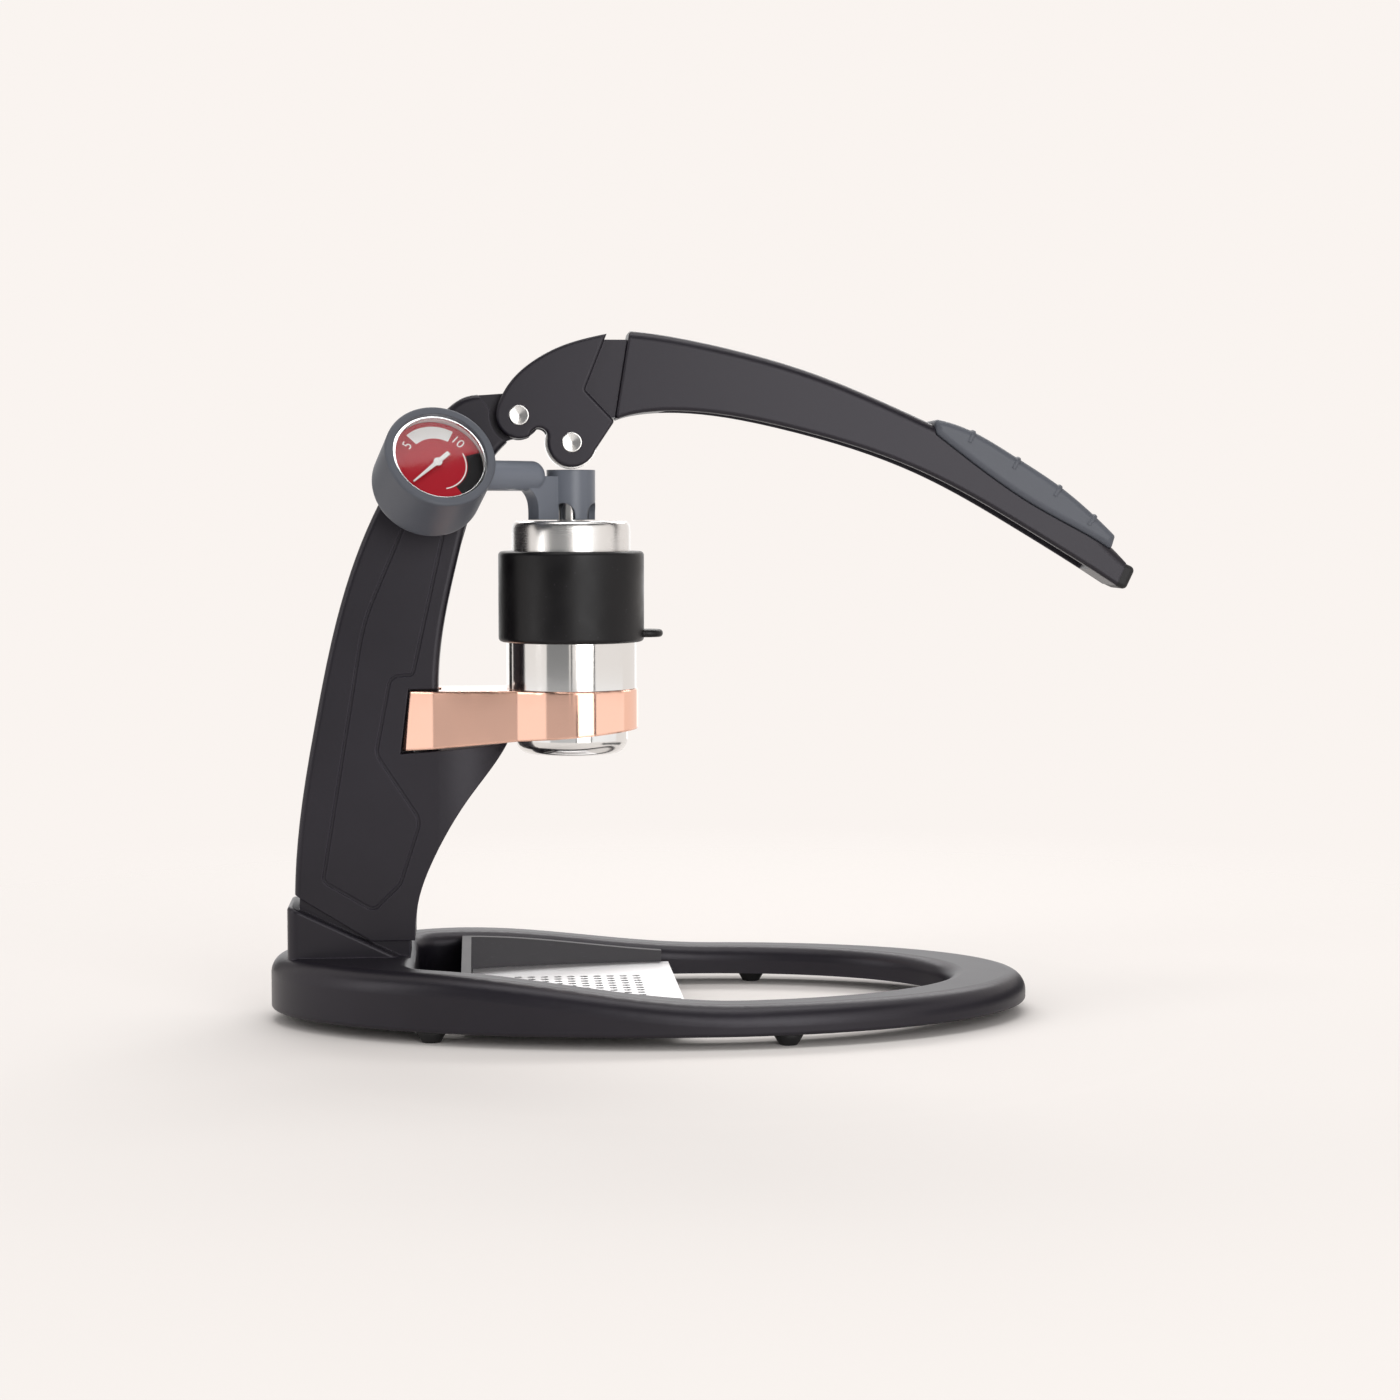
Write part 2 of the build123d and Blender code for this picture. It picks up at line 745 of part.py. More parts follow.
# Post: a curved casting with pockets for the portafilter's fork and a tongue for the lever
with BuildPart() as post:
    with BuildSketch(far_side(post_half_width)):
        with BuildLine():
            back = Spline(post_rear, *post_back, shoulder_corner, tangents=[(0.02, 1), (1, 0.05)])
            shoulder_start = around(pivot, shoulder_r, shoulder_start_angle)
            Line(back @ 1, shoulder_start)
            shoulder = CenterArc(pivot, shoulder_r, shoulder_start_angle, shoulder_sweep)
            front = Spline(
                shoulder @ 1,
                post_front,
                (web_front_x, ring_top_z),
                tangents=[(-0.75, -0.66), (0, -1)],
            )
            Polyline(
                front @ 1,
                (web_front_x, web_bottom_z),
                (post_front_x, web_bottom_z),
                (post_front_x, post_foot_z),
                (post_step_x, post_foot_z),
                post_rear,
            )
        make_face()
    extrude(amount=2 * post_half_width)
    long_edges = post.edges().filter_by(GeomType.BSPLINE).filter_by(lambda edge: edge.length > nose_reach)
    fillet(long_edges, radius=post_edge_round)
    add(post_nose.part)
    for side in (-1, 1):
        with BuildSketch(Plane.XZ.offset(side * web_half_width)):
            with BuildLine():
                Polyline(
                    (fork_rear_x - pocket_gap, shelf_z(fork_rear_x)),
                    (fork_rear_x - pocket_gap + fork_rear_lean, ring_top_z + pocket_gap),
                    (brew_x, ring_top_z + pocket_gap),
                    (brew_x, shelf_z(brew_x)),
                    close=True,
                )
            make_face()
        extrude(amount=side * post_half_width, mode=Mode.SUBTRACT)
    with BuildSketch(far_side(tongue_half_width)):
        with BuildLine():
            Spline(shoulder_corner, beside_pivot(0, lug_r), tangents=[(1, 0.05), (1, 0)])
            lug = CenterArc(pivot, lug_r, 90, -180)
            tongue_under = Spline(
                lug @ 1, beside_pivot(*tongue_dip), post_front, tangents=[(-1, 0), (-0.3, -1)]
            )
            Polyline(tongue_under @ 1, back @ 0.8, shoulder_corner)
        make_face()
        with Locations(pivot):
            Circle(bush_r, mode=Mode.SUBTRACT)
    extrude(amount=2 * tongue_half_width)
    with Locations(Plane(origin=(pivot_x, 0, pivot_z), z_dir=(0, 1, 0))):
        Cylinder(bush_r, 2 * tongue_half_width, mode=Mode.SUBTRACT)
    for side in (-1, 1):
        with BuildSketch(Plane.XZ.offset(side * (post_half_width - groove_depth))):
            add(panel_face(0))
            add(panel_face(groove_width), mode=Mode.SUBTRACT)
        extrude(amount=side * post_half_width, mode=Mode.SUBTRACT)
    with Locations((tenon_x, 0, tenon_bottom_z)):
        Box(
            tenon_length,
            2 * tenon_half_width,
            post_rear[1] - tenon_bottom_z,
            align=(Align.CENTER, Align.CENTER, Align.MIN),
        )
    with Locations((tenon_x, 0, 0)):
        Cylinder(
            stud_r + running_clearance,
            tenon_bottom_z + stud_reach + stud_r,
            align=(Align.CENTER, Align.CENTER, Align.MIN),
            mode=Mode.SUBTRACT,
        )
post.part.label = "post"
export_step(post.part, "parts/post.step")

# Clamp stud, washer and knob under the heel
with BuildPart() as post_stud:
    with Locations((tenon_x, 0, knob_bottom_z + knob_height / 2)):
        Cylinder(
            stud_r,
            tenon_bottom_z + stud_reach - knob_bottom_z - knob_height / 2,
            align=(Align.CENTER, Align.CENTER, Align.MIN),
        )
    chamfer(post_stud.edges().sort_by(Axis.Z)[-1], length=stud_r / 5)
post_stud.part.label = "post_stud"
export_step(post_stud.part, "parts/post_stud.step")

with BuildPart() as knob_washer:
    with BuildSketch(Plane(origin=(tenon_x, 0, knob_pocket_z - washer_thickness))):
        Circle(washer_r)
        Circle(stud_r + fit_clearance, mode=Mode.SUBTRACT)
    extrude(amount=washer_thickness)
knob_washer.part.label = "knob_washer"
export_step(knob_washer.part, "parts/knob_washer.step")

with BuildPart() as post_knob:
    with BuildSketch(Plane(origin=(tenon_x, 0, knob_bottom_z))):
        Circle(knob_r)
        with PolarLocations(knob_r + knob_lobe_r / 2, knob_lobes):
            Circle(knob_lobe_r, mode=Mode.SUBTRACT)
    extrude(amount=knob_height)
    chamfer(post_knob.faces().sort_by(Axis.Z)[0].edges(), length=knob_gap)
    with Locations((tenon_x, 0, knob_bottom_z + knob_height / 2)):
        Cylinder(stud_r, knob_height, align=(Align.CENTER, Align.CENTER, Align.MIN), mode=Mode.SUBTRACT)
post_knob.part.label = "post_knob"
export_step(post_knob.part, "parts/post_knob.step")


def cross_pin(name, centre, radius, half_length):
    """Pin across the lever with its ends a little domed."""
    with BuildPart() as pin:
        with Locations(Plane(origin=(centre[0], 0, centre[1]), z_dir=(0, 1, 0))):
            Cylinder(radius, 2 * half_length)
        fillet(pin.edges().filter_by(GeomType.CIRCLE), radius=pin_proud * 0.7)
    pin.part.label = name
    export_step(pin.part, "parts/" + name + ".step")


def cross_bush(name, centre, outer_r, inner_r, half_length):
    """Plain ring on an axis across the lever."""
    with BuildPart() as ring:
        with BuildSketch(far_side(half_length)):
            with Locations(centre):
                Circle(outer_r)
                Circle(inner_r, mode=Mode.SUBTRACT)
        extrude(amount=2 * half_length)
    ring.part.label = name
    export_step(ring.part, "parts/" + name + ".step")


cross_pin("pivot_pin", pivot, pin_r, head_half_width + pin_proud)
cross_pin("pusher_pin", pusher, pin_r, head_half_width + pin_proud)
cross_bush("pivot_bush", pivot, bush_r, pin_r + running_clearance, tongue_half_width)
cross_bush("pusher_roller", pusher, roller_r, pin_r + running_clearance, roller_half_width)

# Lever head: two cheeks joined by a web, and a neck that enters the arm
with BuildPart() as lever_fork:
    with BuildSketch(far_side(head_half_width)):
        with BuildLine():
            pivot_lobe = CenterArc(pivot, pivot_lobe_r, pivot_lobe_start, pivot_lobe_sweep)
            pusher_lobe = CenterArc(pusher, pusher_lobe_r, pusher_lobe_start, pusher_lobe_sweep)
            ThreePointArc(pusher_lobe @ 1, beside_pivot(*crook), pivot_lobe @ 0)
            Spline(
                pivot_lobe @ 1,
                *(beside_pivot(*step) for step in crown_steps),
                head_tip,
                tangents=[(0.34, 0.94), (0.98, 0.2)],
            )
            FilletPolyline(head_tip, head_notch, head_point, pusher_lobe @ 0, radius=head_corner_round)
        make_face()
    extrude(amount=2 * head_half_width)
    cheeks = lever_fork.faces().filter_by(GeomType.PLANE).filter_by(Axis.Y)
    fillet([edge for cheek in cheeks for edge in cheek.edges()], radius=head_edge_round)
    with BuildSketch(far_side(slot_half_width)):
        with BuildLine():
            Polyline(
                beside_pivot(-4 * pivot_lobe_r, -4 * pivot_lobe_r),
                (pusher_x + roller_room, pivot_z - 4 * pivot_lobe_r),
                (pusher_x + roller_room, pusher_z),
                around(pusher, roller_room, 45),
                around(pusher, roller_room, 90),
                beside_pivot(web_start, lug_r),
                beside_pivot(web_start, 4 * lug_r),
                beside_pivot(-4 * pivot_lobe_r, 4 * lug_r),
                close=True,
            )
        make_face()
        with Locations(pusher):
            Circle(roller_room)
    extrude(amount=2 * slot_half_width, mode=Mode.SUBTRACT)
    with BuildSketch(far_side(neck_half_width)):
        with BuildLine():
            Polyline(neck_outline, close=True)
        make_face()
    extrude(amount=2 * neck_half_width)
    with BuildSketch(far_side(tenon_tongue_half_width)):
        with BuildLine():
            Polyline(tenon_outline, close=True)
        make_face()
    extrude(amount=2 * tenon_tongue_half_width)
    for centre in (pivot, pusher):
        with Locations(Plane(origin=(centre[0], 0, centre[1]), z_dir=(0, 1, 0))):
            Cylinder(pin_r, 2 * head_half_width, mode=Mode.SUBTRACT)
lever_fork.part.label = "lever_fork"
export_step(lever_fork.part, "parts/lever_fork.step")

# Lever arm: a long curved casting, open along its underside, with a narrow core under the grip
with BuildPart() as lever_arm:
    with BuildSketch(far_side(arm_half_width)):
        add(arm_face())
    extrude(amount=2 * arm_half_width)
    for radius, place in ((arm_edge_round, -1), (arm_lip_round, 0)):
        flanks = lever_arm.faces().filter_by(GeomType.PLANE).filter_by(Axis.Y)
        long_edges = [flank.edges().sort_by(SortBy.LENGTH)[-2:] for flank in flanks]
        fillet([pair.sort_by(Axis.Z)[place] for pair in long_edges], radius=radius)
    fillet(lever_arm.faces().sort_by(Axis.X)[0].edges(), radius=arm_start_round)
    with BuildSketch(far_side(arm_half_width - channel_wall)):
        add(channel_face())
    extrude(amount=2 * (arm_half_width - channel_wall), mode=Mode.SUBTRACT)
    with BuildSketch(far_side(2 * arm_half_width)):
        add(grip_face(0))
    extrude(amount=4 * arm_half_width, mode=Mode.SUBTRACT)
    with BuildSketch(far_side(grip_half_width - grip_wall)):
        add(grip_face(grip_wall))
    extrude(amount=2 * (grip_half_width - grip_wall))
    with BuildSketch(far_side(tenon_tongue_half_width + running_clearance)):
        with BuildLine():
            Polyline(tenon_outline, close=True)
        make_face()
        offset(amount=running_clearance)
    extrude(amount=2 * (tenon_tongue_half_width + running_clearance), mode=Mode.SUBTRACT)
    with Locations(cap_plane):
        Cylinder(
            cap_peg_r + running_clearance,
            cap_peg_length + running_clearance,
            align=(Align.CENTER, Align.CENTER, Align.MAX),
            mode=Mode.SUBTRACT,
        )
lever_arm.part.label = "lever_arm"
export_step(lever_arm.part, "parts/lever_arm.step")

# End cap: a rounded stub with a peg that enters the arm
with BuildPart() as end_cap:
    with BuildSketch(cap_plane):
        Rectangle(2 * cap_half_width, 2 * cap_half_height)
    extrude(amount=cap_reach)
    fillet(
        end_cap.edges().filter_by(lambda edge: cap_plane.to_local_coords(edge @ 0.5).Z > cap_reach / 4),
        radius=cap_round,
    )
    with Locations(cap_plane):
        Cylinder(cap_peg_r, cap_peg_length, align=(Align.CENTER, Align.CENTER, Align.MAX))
end_cap.part.label = "end_cap"
export_step(end_cap.part, "parts/end_cap.step")

# Soft grip that saddles the arm, with low rounded ridges across its top
with BuildPart() as ridge:
    with BuildSketch():
        add(ridge_face())
    extrude(amount=ridge_width)
    end_edges = ridge.faces().filter_by(Axis.Z).edges()
    fillet(end_edges.filter_by(lambda edge: (edge @ 0.5).Y > ridge_round - ridge_lap), radius=ridge_round)

with BuildPart() as grip:
    with BuildSketch(far_side(grip_half_width)):
        add(grip_face(0))
    extrude(amount=2 * grip_half_width)
    flanks = grip.faces().filter_by(GeomType.PLANE).filter_by(Axis.Y)
    long_edges = [flank.edges().sort_by(SortBy.LENGTH)[-2:] for flank in flanks]
    fillet([pair.sort_by(Axis.Z)[-1] for pair in long_edges], radius=grip_edge_round)
    for place in ridge_places:
        spot = grip_line @ place
        course = grip_line % place
        across = Plane(origin=(spot.X, 0, spot.Y), x_dir=(0, 1, 0), z_dir=(course.X, 0, course.Y))
        with Locations(across.offset(-ridge_width / 2)):
            add(ridge.part)
    with BuildSketch(far_side(grip_half_width - grip_wall)):
        add(grip_face(grip_wall))
    extrude(amount=2 * (grip_half_width - grip_wall), mode=Mode.SUBTRACT)
grip.part.label = "grip"
export_step(grip.part, "parts/grip.step")

# Portafilter: a ring for the basket with a faceted fork that straddles the post
with BuildPart() as portafilter:
    with BuildSketch(Plane.XY.offset(fork_rear_bottom_z)):
        with BuildLine():
            Polyline(
                (fork_rear_x, fork_inner_half_width),
                (fork_rear_x, fork_rear_half_width),
                (fork_rear_x + fork_facet_length, fork_half_width),
                (ring_facet_x, fork_half_width),
                ring_join,
                (brew_x, ring_join[1]),
                (brew_x, -ring_join[1]),
                (ring_join[0], -ring_join[1]),
                (ring_facet_x, -fork_half_width),
                (fork_rear_x + fork_facet_length, -fork_half_width),
                (fork_rear_x, -fork_rear_half_width),
                (fork_rear_x, -fork_inner_half_width),
                (fork_gap_x, -fork_inner_half_width),
                (fork_gap_x, fork_inner_half_width),
                close=True,
            )
        make_face()
        with Locations((brew_x, 0)):
            Circle(ring_r)
    extrude(amount=ring_top_z - fork_rear_bottom_z)
    with BuildSketch(far_side(2 * ring_r)):
        with BuildLine():
            Polyline(
                (fork_rear_x, fork_bottom_z(fork_rear_x)),
                (brew_x + ring_r, fork_bottom_z(brew_x + ring_r)),
                (brew_x + ring_r, ring_top_z),
                (fork_rear_x + fork_rear_lean, ring_top_z),
                close=True,
            )
        make_face()
    extrude(amount=4 * ring_r, mode=Mode.INTERSECT)
    fillet(portafilter.faces().sort_by(Axis.Z)[-1].edges(), radius=fork_edge_round)
    with Locations((brew_x, 0, 0)):
        Cylinder(basket_r + basket_clearance, 2 * ring_top_z, mode=Mode.SUBTRACT)
    with Locations((brew_x, 0, flange_z)):
        Cylinder(
            flange_r + basket_clearance,
            ring_top_z,
            align=(Align.CENTER, Align.CENTER, Align.MIN),
            mode=Mode.SUBTRACT,
        )
portafilter.part.label = "portafilter"
export_step(portafilter.part, "parts/portafilter.step")


def turned(*points):
    """Solid of revolution about the brew axis, from pairs of radius and height."""
    with BuildPart() as solid:
        with BuildSketch(Plane(origin=(brew_x, 0, 0), x_dir=(1, 0, 0), z_dir=(0, -1, 0))):
            with BuildLine():
                Polyline(*points, close=True)
            make_face()
        revolve(axis=Axis((brew_x, 0, 0), (0, 0, 1)))
    return solid.part


def rounded_drum(radius, bottom_z, top_z, corner):
    """Upright drum on the brew axis with its lower edge rounded."""
    with BuildPart() as drum:
        with Locations((brew_x, 0, bottom_z)):
            Cylinder(radius, top_z - bottom_z, align=(Align.CENTER, Align.CENTER, Align.MIN))
        fillet(drum.edges().sort_by(Axis.Z)[0], radius=corner)
    return drum.part


# Filter basket: a flanged steel wall, rounded in at its foot
with BuildPart() as filter_basket:
    add(rounded_drum(basket_r, basket_bottom_z, ring_top_z, basket_round))
    with Locations((brew_x, 0, flange_z)):
        Cylinder(flange_r, flange_thickness, align=(Align.CENTER, Align.CENTER, Align.MIN))
    add(
        rounded_drum(
            basket_r - basket_wall,
            basket_bottom_z + basket_wall,
            ring_top_z + basket_wall,
            basket_round - basket_wall,
        ),
        mode=Mode.SUBTRACT,
    )
    with Locations((brew_x, 0, basket_bottom_z)):
        Cylinder(basket_r - basket_round, 4 * basket_wall, mode=Mode.SUBTRACT)
filter_basket.part.label = "filter_basket"
export_step(filter_basket.part, "parts/filter_basket.step")


def sieve(name, radius, bottom_z, thickness, hole_r):
    """Perforated round plate on the brew axis."""
    with BuildPart() as plate:
        with BuildSketch(Plane(origin=(brew_x, 0, bottom_z))):
            Circle(radius)
            for ring in range(1, sieve_rings + 1):
                with PolarLocations(ring * sieve_pitch, 6 * ring):
                    Circle(hole_r, mode=Mode.SUBTRACT)
        extrude(amount=thickness)
    plate.part.label = name
    export_step(plate.part, "parts/" + name + ".step")


# Perforated floor of the basket, and the dispersion screen in the foot of the cylinder
floor_r = basket_r - basket_round - running_clearance
sieve("basket_floor", floor_r, basket_bottom_z, basket_wall, basket_hole_r)
sieve("dispersion_screen", screen_r, cylinder_bottom_z, screen_thickness, screen_hole_r)

# Flat gasket between the basket's flange and the cylinder
basket_gasket = turned(
    (gasket_inner_r, gasket_bottom_z),
    (gasket_outer_r, gasket_bottom_z),
    (gasket_outer_r, gasket_seat_z),
    (gasket_inner_r, gasket_seat_z),
)
basket_gasket.label = "basket_gasket"
export_step(basket_gasket, "parts/basket_gasket.step")

# Brew cylinder: thick at the foot, slimmer above a shoulder, with a rounded crown
with BuildPart() as brew_cylinder:
    with BuildSketch(Plane(origin=(brew_x, 0, 0), x_dir=(1, 0, 0), z_dir=(0, -1, 0))):
        with BuildLine():
            Polyline(
                (mouth_r, cylinder_top_z),
                (bore_r, cylinder_top_z),
                (bore_r, screen_seat_z),
                (screen_r + basket_clearance, screen_seat_z),
                (screen_r + basket_clearance, cylinder_bottom_z),
                (gasket_inner_r - basket_clearance, cylinder_bottom_z),
                (gasket_inner_r - basket_clearance, gasket_seat_z),
                (gasket_outer_r + basket_clearance, gasket_seat_z),
                (gasket_outer_r + basket_clearance, cylinder_bottom_z),
                (lower_r, cylinder_bottom_z),
                (lower_r, shoulder_z),
                (upper_r, shoulder_z),
                (upper_r, cylinder_top_z - crown_height),
            )
            Spline(
                (upper_r, cylinder_top_z - crown_height),
                (mouth_r, cylinder_top_z),
                tangents=[(0, 1), (-1, 0.25)],
            )
        make_face()
    revolve(axis=Axis((brew_x, 0, 0), (0, 0, 1)))
brew_cylinder.part.label = "brew_cylinder"
export_step(brew_cylinder.part, "parts/brew_cylinder.step")

# Heat sleeve with a rounded pull tab at its lower edge
with BuildPart() as sleeve_tab:
    with BuildSketch(Plane(origin=(brew_x, 0, sleeve_bottom_z + sleeve_round))):
        with Locations((sleeve_r + tab_reach - tab_half_width, 0)):
            Circle(tab_half_width)
            Rectangle(2 * tab_half_width, 2 * tab_half_width, align=(Align.MAX, Align.CENTER))
        Circle((sleeve_r + lower_r) / 2, mode=Mode.SUBTRACT)
    extrude(amount=tab_thickness)
    fillet(sleeve_tab.faces().filter_by(Axis.Z).edges(), radius=tab_round)

with BuildPart() as sleeve:
    add(
        turned(
            (lower_r + sleeve_clearance, sleeve_bottom_z),
            (sleeve_r, sleeve_bottom_z),
            (sleeve_r, sleeve_top_z),
            (upper_r + sleeve_clearance, sleeve_top_z),
            (upper_r + sleeve_clearance, shoulder_z + sleeve_clearance),
            (lower_r + sleeve_clearance, shoulder_z + sleeve_clearance),
        )
    )
    rims = sleeve.edges().filter_by(GeomType.CIRCLE)
    fillet(rims.filter_by(lambda edge: edge.radius > lower_r + sleeve_round), radius=sleeve_round)
    add(sleeve_tab.part)
sleeve.part.label = "sleeve"
export_step(sleeve.part, "parts/sleeve.step")

# Piston with two seal grooves and a counterbored hole for its bolt
with BuildPart() as piston:
    with Locations((brew_x, 0, piston_bottom_z)):
        Cylinder(piston_r, piston_height, align=(Align.CENTER, Align.CENTER, Align.MIN))
        for radius, height in ((bolt_head_r, bolt_head_height), (bolt_r, piston_height)):
            Cylinder(
                radius + fit_clearance,
                height,
                align=(Align.CENTER, Align.CENTER, Align.MIN),
                mode=Mode.SUBTRACT,
            )
    for z in seal_heights:
        add(
            turned(
                (seal_ring_r - seal_minor_r, z - seal_minor_r),
                (bore_r, z - seal_minor_r),
                (bore_r, z + seal_minor_r),
                (seal_ring_r - seal_minor_r, z + seal_minor_r),
            ),
            mode=Mode.SUBTRACT,
        )
piston.part.label = "piston"
export_step(piston.part, "parts/piston.step")

with BuildPart() as piston_seals:
    for z in seal_heights:
        with Locations((brew_x, 0, z)):
            Torus(seal_ring_r, seal_minor_r)
piston_seals.part.label = "piston_seals"
export_step(piston_seals.part, "parts/piston_seals.step")

# Stem that stands on the piston and turns in the gauge head
with BuildPart() as plunger_stem:
    with Locations((brew_x, 0, piston_top_z)):
        Cylinder(
            stem_r,
            stem_top_z - stem_play - piston_top_z,
            align=(Align.CENTER, Align.CENTER, Align.MIN),
        )
        Cylinder(
            bolt_r + running_clearance,
            bolt_length,
            align=(Align.CENTER, Align.CENTER, Align.MIN),
            mode=Mode.SUBTRACT,
        )
plunger_stem.part.label = "plunger_stem"
export_step(plunger_stem.part, "parts/plunger_stem.step")

# Socket bolt that holds the piston on the stem
with BuildPart() as piston_bolt:
    with Locations((brew_x, 0, piston_bottom_z)):
        Cylinder(bolt_head_r, bolt_head_height, align=(Align.CENTER, Align.CENTER, Align.MIN))
        Cylinder(
            bolt_r,
            piston_height + bolt_length - fit_clearance,
            align=(Align.CENTER, Align.CENTER, Align.MIN),
        )
    with BuildSketch(Plane(origin=(brew_x, 0, piston_bottom_z))):
        RegularPolygon(bolt_r, 6)
    extrude(amount=bolt_head_height / 2, mode=Mode.SUBTRACT)
piston_bolt.part.label = "piston_bolt"
export_step(piston_bolt.part, "parts/piston_bolt.step")


def gauge_pipe(margin):
    """Pipe from the gauge head into the gauge boot, ending at the gauge's case."""
    with BuildPart() as pipe:
        with Locations(Plane(origin=pipe_side.from_local_coords((pipe_start, pipe_z, 0)), z_dir=pipe_along)):
            Cylinder(
                pipe_r + margin,
                pipe_end - pipe_start,
                align=(Align.CENTER, Align.CENTER, Align.MIN),
            )
        fillet(pipe.edges().filter_by(GeomType.CIRCLE).sort_by(Axis.X)[-1], radius=pipe_round)
        with Locations(gauge_plane):
            Cylinder(case_r + running_clearance, 2 * boot_depth, mode=Mode.SUBTRACT)
    return pipe.part


# Gauge head: a windowed hub on the stem, a pipe to the gauge and the web between them
with BuildPart() as gauge_head:
    with Locations((brew_x, 0, hub_bottom_z)):
        Cylinder(hub_r, hub_top_z - hub_bottom_z, align=(Align.CENTER, Align.CENTER, Align.MIN))
        Cylinder(
            hub_r - hub_wall,
            stem_top_z - hub_journal - hub_bottom_z,
            align=(Align.CENTER, Align.CENTER, Align.MIN),
            mode=Mode.SUBTRACT,
        )
        Cylinder(
            stem_r + running_clearance,
            stem_top_z - hub_bottom_z,
            align=(Align.CENTER, Align.CENTER, Align.MIN),
            mode=Mode.SUBTRACT,
        )
    for turn in range(4):
        facing = Vector(1, 0, 0).rotate(Axis.Z, 90 * turn - window_turn)
        side = Vector(-facing.Y, facing.X, 0)
        with BuildSketch(Plane(origin=(brew_x, 0, hub_bottom_z), x_dir=side, z_dir=facing)):
            with Locations((0, window_height - window_width / 2)):
                Circle(window_width / 2)
                Rectangle(window_width, window_height, align=(Align.CENTER, Align.MAX))
        extrude(amount=2 * hub_r, mode=Mode.SUBTRACT)
    with BuildSketch(pipe_side.offset(-web_half_thickness)):
        with BuildLine():
            web_edge = Spline(
                (web_foot_r, hub_bottom_z),
                (web_waist_r, web_waist_z),
                (web_top_r, web_top_z),
                tangents=[(0, 1), (1, 0.3)],
            )
            Polyline(
                web_edge @ 1,
                (web_top_r, pipe_z),
                (hub_r - hub_wall / 2, pipe_z),
                (hub_r - hub_wall / 2, hub_bottom_z),
                web_edge @ 0,
            )
        make_face()
    extrude(amount=2 * web_half_thickness)
    add(gauge_pipe(0))
gauge_head.part.label = "gauge_head"
export_step(gauge_head.part, "parts/gauge_head.step")

# Soft boot around the gauge
with BuildPart() as gauge_boot:
    with Locations(gauge_plane):
        Cylinder(boot_r, boot_depth, align=(Align.CENTER, Align.CENTER, Align.MAX))
    rims = gauge_boot.edges().filter_by(GeomType.CIRCLE).sort_by(Axis(gauge_plane.origin, gauge_normal))
    fillet(rims[-1], radius=boot_front_round)
    rims = gauge_boot.edges().filter_by(GeomType.CIRCLE).sort_by(Axis(gauge_plane.origin, gauge_normal))
    fillet(rims[0], radius=boot_back_round)
    with Locations(gauge_plane):
        Cylinder(boot_lip_r, boot_depth, align=(Align.CENTER, Align.CENTER, Align.CENTER), mode=Mode.SUBTRACT)
    with Locations(gauge_plane.offset(-boot_lip)):
        Cylinder(
            case_r + running_clearance,
            boot_depth - boot_lip - boot_r + case_r,
            align=(Align.CENTER, Align.CENTER, Align.MAX),
            mode=Mode.SUBTRACT,
        )
    add(gauge_pipe(running_clearance), mode=Mode.SUBTRACT)
gauge_boot.part.label = "gauge_boot"
export_step(gauge_boot.part, "parts/gauge_boot.step")

# Case, bezel, lens and dial of the gauge
with BuildPart() as gauge_case:
    with Locations(gauge_plane.offset(-case_front_depth)):
        Cylinder(case_r, case_depth, align=(Align.CENTER, Align.CENTER, Align.MAX))
        Cylinder(
            case_r - case_wall,
            case_depth - case_wall,
            align=(Align.CENTER, Align.CENTER, Align.MAX),
            mode=Mode.SUBTRACT,
        )
gauge_case.part.label = "gauge_case"
export_step(gauge_case.part, "parts/gauge_case.step")

with BuildPart() as gauge_bezel:
    with Locations(gauge_plane.offset(-bezel_depth)):
        Cylinder(case_r - bezel_play, bezel_thickness, align=(Align.CENTER, Align.CENTER, Align.MAX))
        Cylinder(bezel_inner_r, 3 * bezel_thickness, mode=Mode.SUBTRACT)
    with Locations(gauge_plane.offset(-bezel_depth - bezel_lip)):
        Cylinder(
            lens_r + running_clearance,
            bezel_thickness,
            align=(Align.CENTER, Align.CENTER, Align.MAX),
            mode=Mode.SUBTRACT,
        )
gauge_bezel.part.label = "gauge_bezel"
export_step(gauge_bezel.part, "parts/gauge_bezel.step")

with BuildPart() as gauge_lens:
    with Locations(gauge_plane.offset(-bezel_depth - bezel_lip)):
        Cylinder(lens_r, lens_thickness, align=(Align.CENTER, Align.CENTER, Align.MAX))
gauge_lens.part.label = "gauge_lens"
export_step(gauge_lens.part, "parts/gauge_lens.step")

with BuildPart() as gauge_dial:
    with Locations(gauge_plane.offset(-dial_depth)):
        Cylinder(dial_r, dial_thickness, align=(Align.CENTER, Align.CENTER, Align.MAX))
        Cylinder(needle_shaft_r + basket_clearance, 3 * dial_thickness, mode=Mode.SUBTRACT)
gauge_dial.part.label = "gauge_dial"
export_step(gauge_dial.part, "parts/gauge_dial.step")

# Needle with a hub and a shaft that reaches into the movement
with BuildPart() as gauge_needle:
    with BuildSketch(needle_plane):
        with BuildLine():
            Polyline(
                (-needle_tail, needle_hub_r / 2),
                (0, needle_hub_r / 2),
                (needle_length, needle_thickness / 2),
                (needle_length, -needle_thickness / 2),
                (0, -needle_hub_r / 2),
                (-needle_tail, -needle_hub_r / 2),
                close=True,
            )
        make_face()
        Circle(needle_hub_r)
    extrude(amount=needle_thickness)
    with Locations(needle_plane):
        Cylinder(
            needle_shaft_r,
            needle_lift + dial_thickness + movement_depth,
            align=(Align.CENTER, Align.CENTER, Align.MAX),
        )
gauge_needle.part.label = "gauge_needle"
export_step(gauge_needle.part, "parts/gauge_needle.step")

# Bourdon tube and the movement that stands between the case's back and the dial
with BuildPart() as bourdon_tube:
    with Locations(gauge_plane.offset(-tube_depth)):
        Torus(tube_bend_r, tube_r, major_angle=tube_sweep, rotation=(0, 0, -90), align=None)
bourdon_tube.part.label = "bourdon_tube"
export_step(bourdon_tube.part, "parts/bourdon_tube.step")

